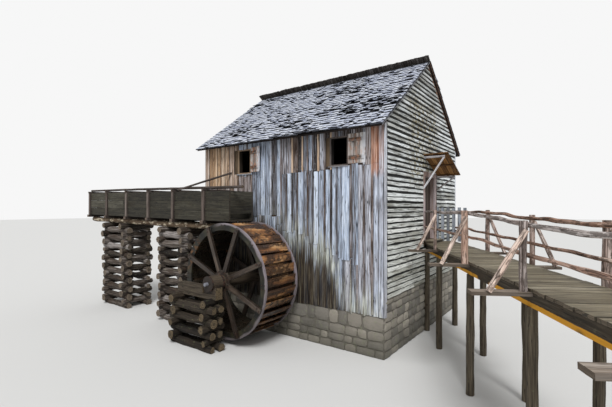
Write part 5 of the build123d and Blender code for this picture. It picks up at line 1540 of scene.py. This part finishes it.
def fieldstones(across, foot, length, height, seed):  # courses of stones, the last of each made to fit
    dice = Random(seed)
    out = across.cross(up)
    laid = []
    z = 0.0
    while z < height - stones["leftOver"]:
        high = dice.uniform(*stones["course"])
        high = height - z if height - z - high < stones["lowest"] else high
        x = 0.0
        while x < length - stones["endOver"]:
            width = dice.uniform(*stones["width"])
            width = length - x if length - x - width < stones["narrowest"] else width
            centre = Vector(foot) + across * (x + width / 2) + up * (z + high / 2)
            stray = dice.uniform(-stones["proudSpread"], stones["proudSpread"])
            centre += out * (stones["proud"] - stones["deep"] / 2 + stray)
            turn = facing(across, up) @ Matrix.Rotation(dice.gauss(0, stones["skew"]), 3, "Z")
            laid.append(item(centre, turn, (width - stones["joint"], high - stones["joint"], stones["deep"]),
                             dice.random(), stray=dice.random()))
            x += width
        z += high
    return laid


left, depth = longWall["left"], longWall["depth"]
stoneWalls = ((right, (left, 0, 0), -left, 1.0), (back, (0, 0, 0), depth, 1.42),
              (-right, (0, depth, 0), -left, 1.44), (-back, (left, depth, 0), depth, 1.42))
wallStones = []
for i, wall in enumerate(stoneWalls):  # the way each one runs, its foot, length and height
    wallStones += fieldstones(*wall, stones["seed"] + i)
lay("wallStones", "stone", wallStones, {"along": 4, "across": 4, "round": 0.5, "warp": 0.5, "seed": 2.0},
    "fieldstone", (), ground)
rest("mortar", "foundation_front_back", "foundation_ends")
print("stage: stone walls laid")

# Stage, light and camera
studio = {"floor": (0.62, 0.62, 0.61, 1), "floorHalf": 140.0, "floorUnder": -0.002, "sky": (1.0, 1.0, 1.0, 1),
          "skyLight": 0.60, "skySeen": 0.93, "sunStrength": 2.5, "sunSpread": 22, "sunTurn": (40, 0, 36)}
view = {"place": (3.849, -8.345, 3.626), "turn": 36.43, "lens": 22.24, "sensor": 36.0, "shift": 0.0074,
        "seesTo": 400}
scene = bpy.context.scene


def stageFloor(name, half, z, colour):
    mesh = bpy.data.meshes.new(name)
    corners = [(-half, -half, z), (half, -half, z), (half, half, z), (-half, half, z)]
    mesh.from_pydata(corners, [], [(0, 1, 2, 3)])
    material = bpy.data.materials.new(name)
    material.use_nodes = True
    shader = material.node_tree.nodes["Principled BSDF"]
    shader.inputs["Base Color"].default_value = colour
    shader.inputs["Roughness"].default_value = 0.9
    mesh.materials.append(material)
    plane = bpy.data.objects.new(name, mesh)
    scene.collection.objects.link(plane)


def skyLight():  # white to the camera, softer as a light
    world = bpy.data.worlds.new("studioSky")
    world.use_nodes = True
    plan = Plan(world.node_tree)
    background = world.node_tree.nodes["Background"]
    seen = plan.node("ShaderNodeLightPath", out="Is Camera Ray")
    strength = plan.rise(seen, 0.0, 1.0, studio["skyLight"], studio["skySeen"])
    background.inputs["Color"].default_value = studio["sky"]
    world.node_tree.links.new(strength.socket, background.inputs["Strength"])
    scene.world = world


stageFloor("studioFloor", studio["floorHalf"], studio["floorUnder"], studio["floor"])
skyLight()
sunLamp = bpy.data.lights.new("studioKey", "SUN")
sunLamp.energy = studio["sunStrength"]
sunLamp.angle = radians(studio["sunSpread"])
sun = bpy.data.objects.new("studioKey", sunLamp)
sun.rotation_euler = [radians(a) for a in studio["sunTurn"]]
scene.collection.objects.link(sun)

lens = bpy.data.cameras.new("viewer")
lens.lens = view["lens"]
lens.sensor_width = view["sensor"]
lens.shift_y = view["shift"]
lens.clip_end = view["seesTo"]
viewer = bpy.data.objects.new("viewer", lens)
viewer.location = view["place"]
viewer.rotation_euler = (radians(90), 0, radians(view["turn"]))
scene.collection.objects.link(viewer)
scene.camera = viewer
scene.view_settings.view_transform = "Standard"

print("stage: ready")
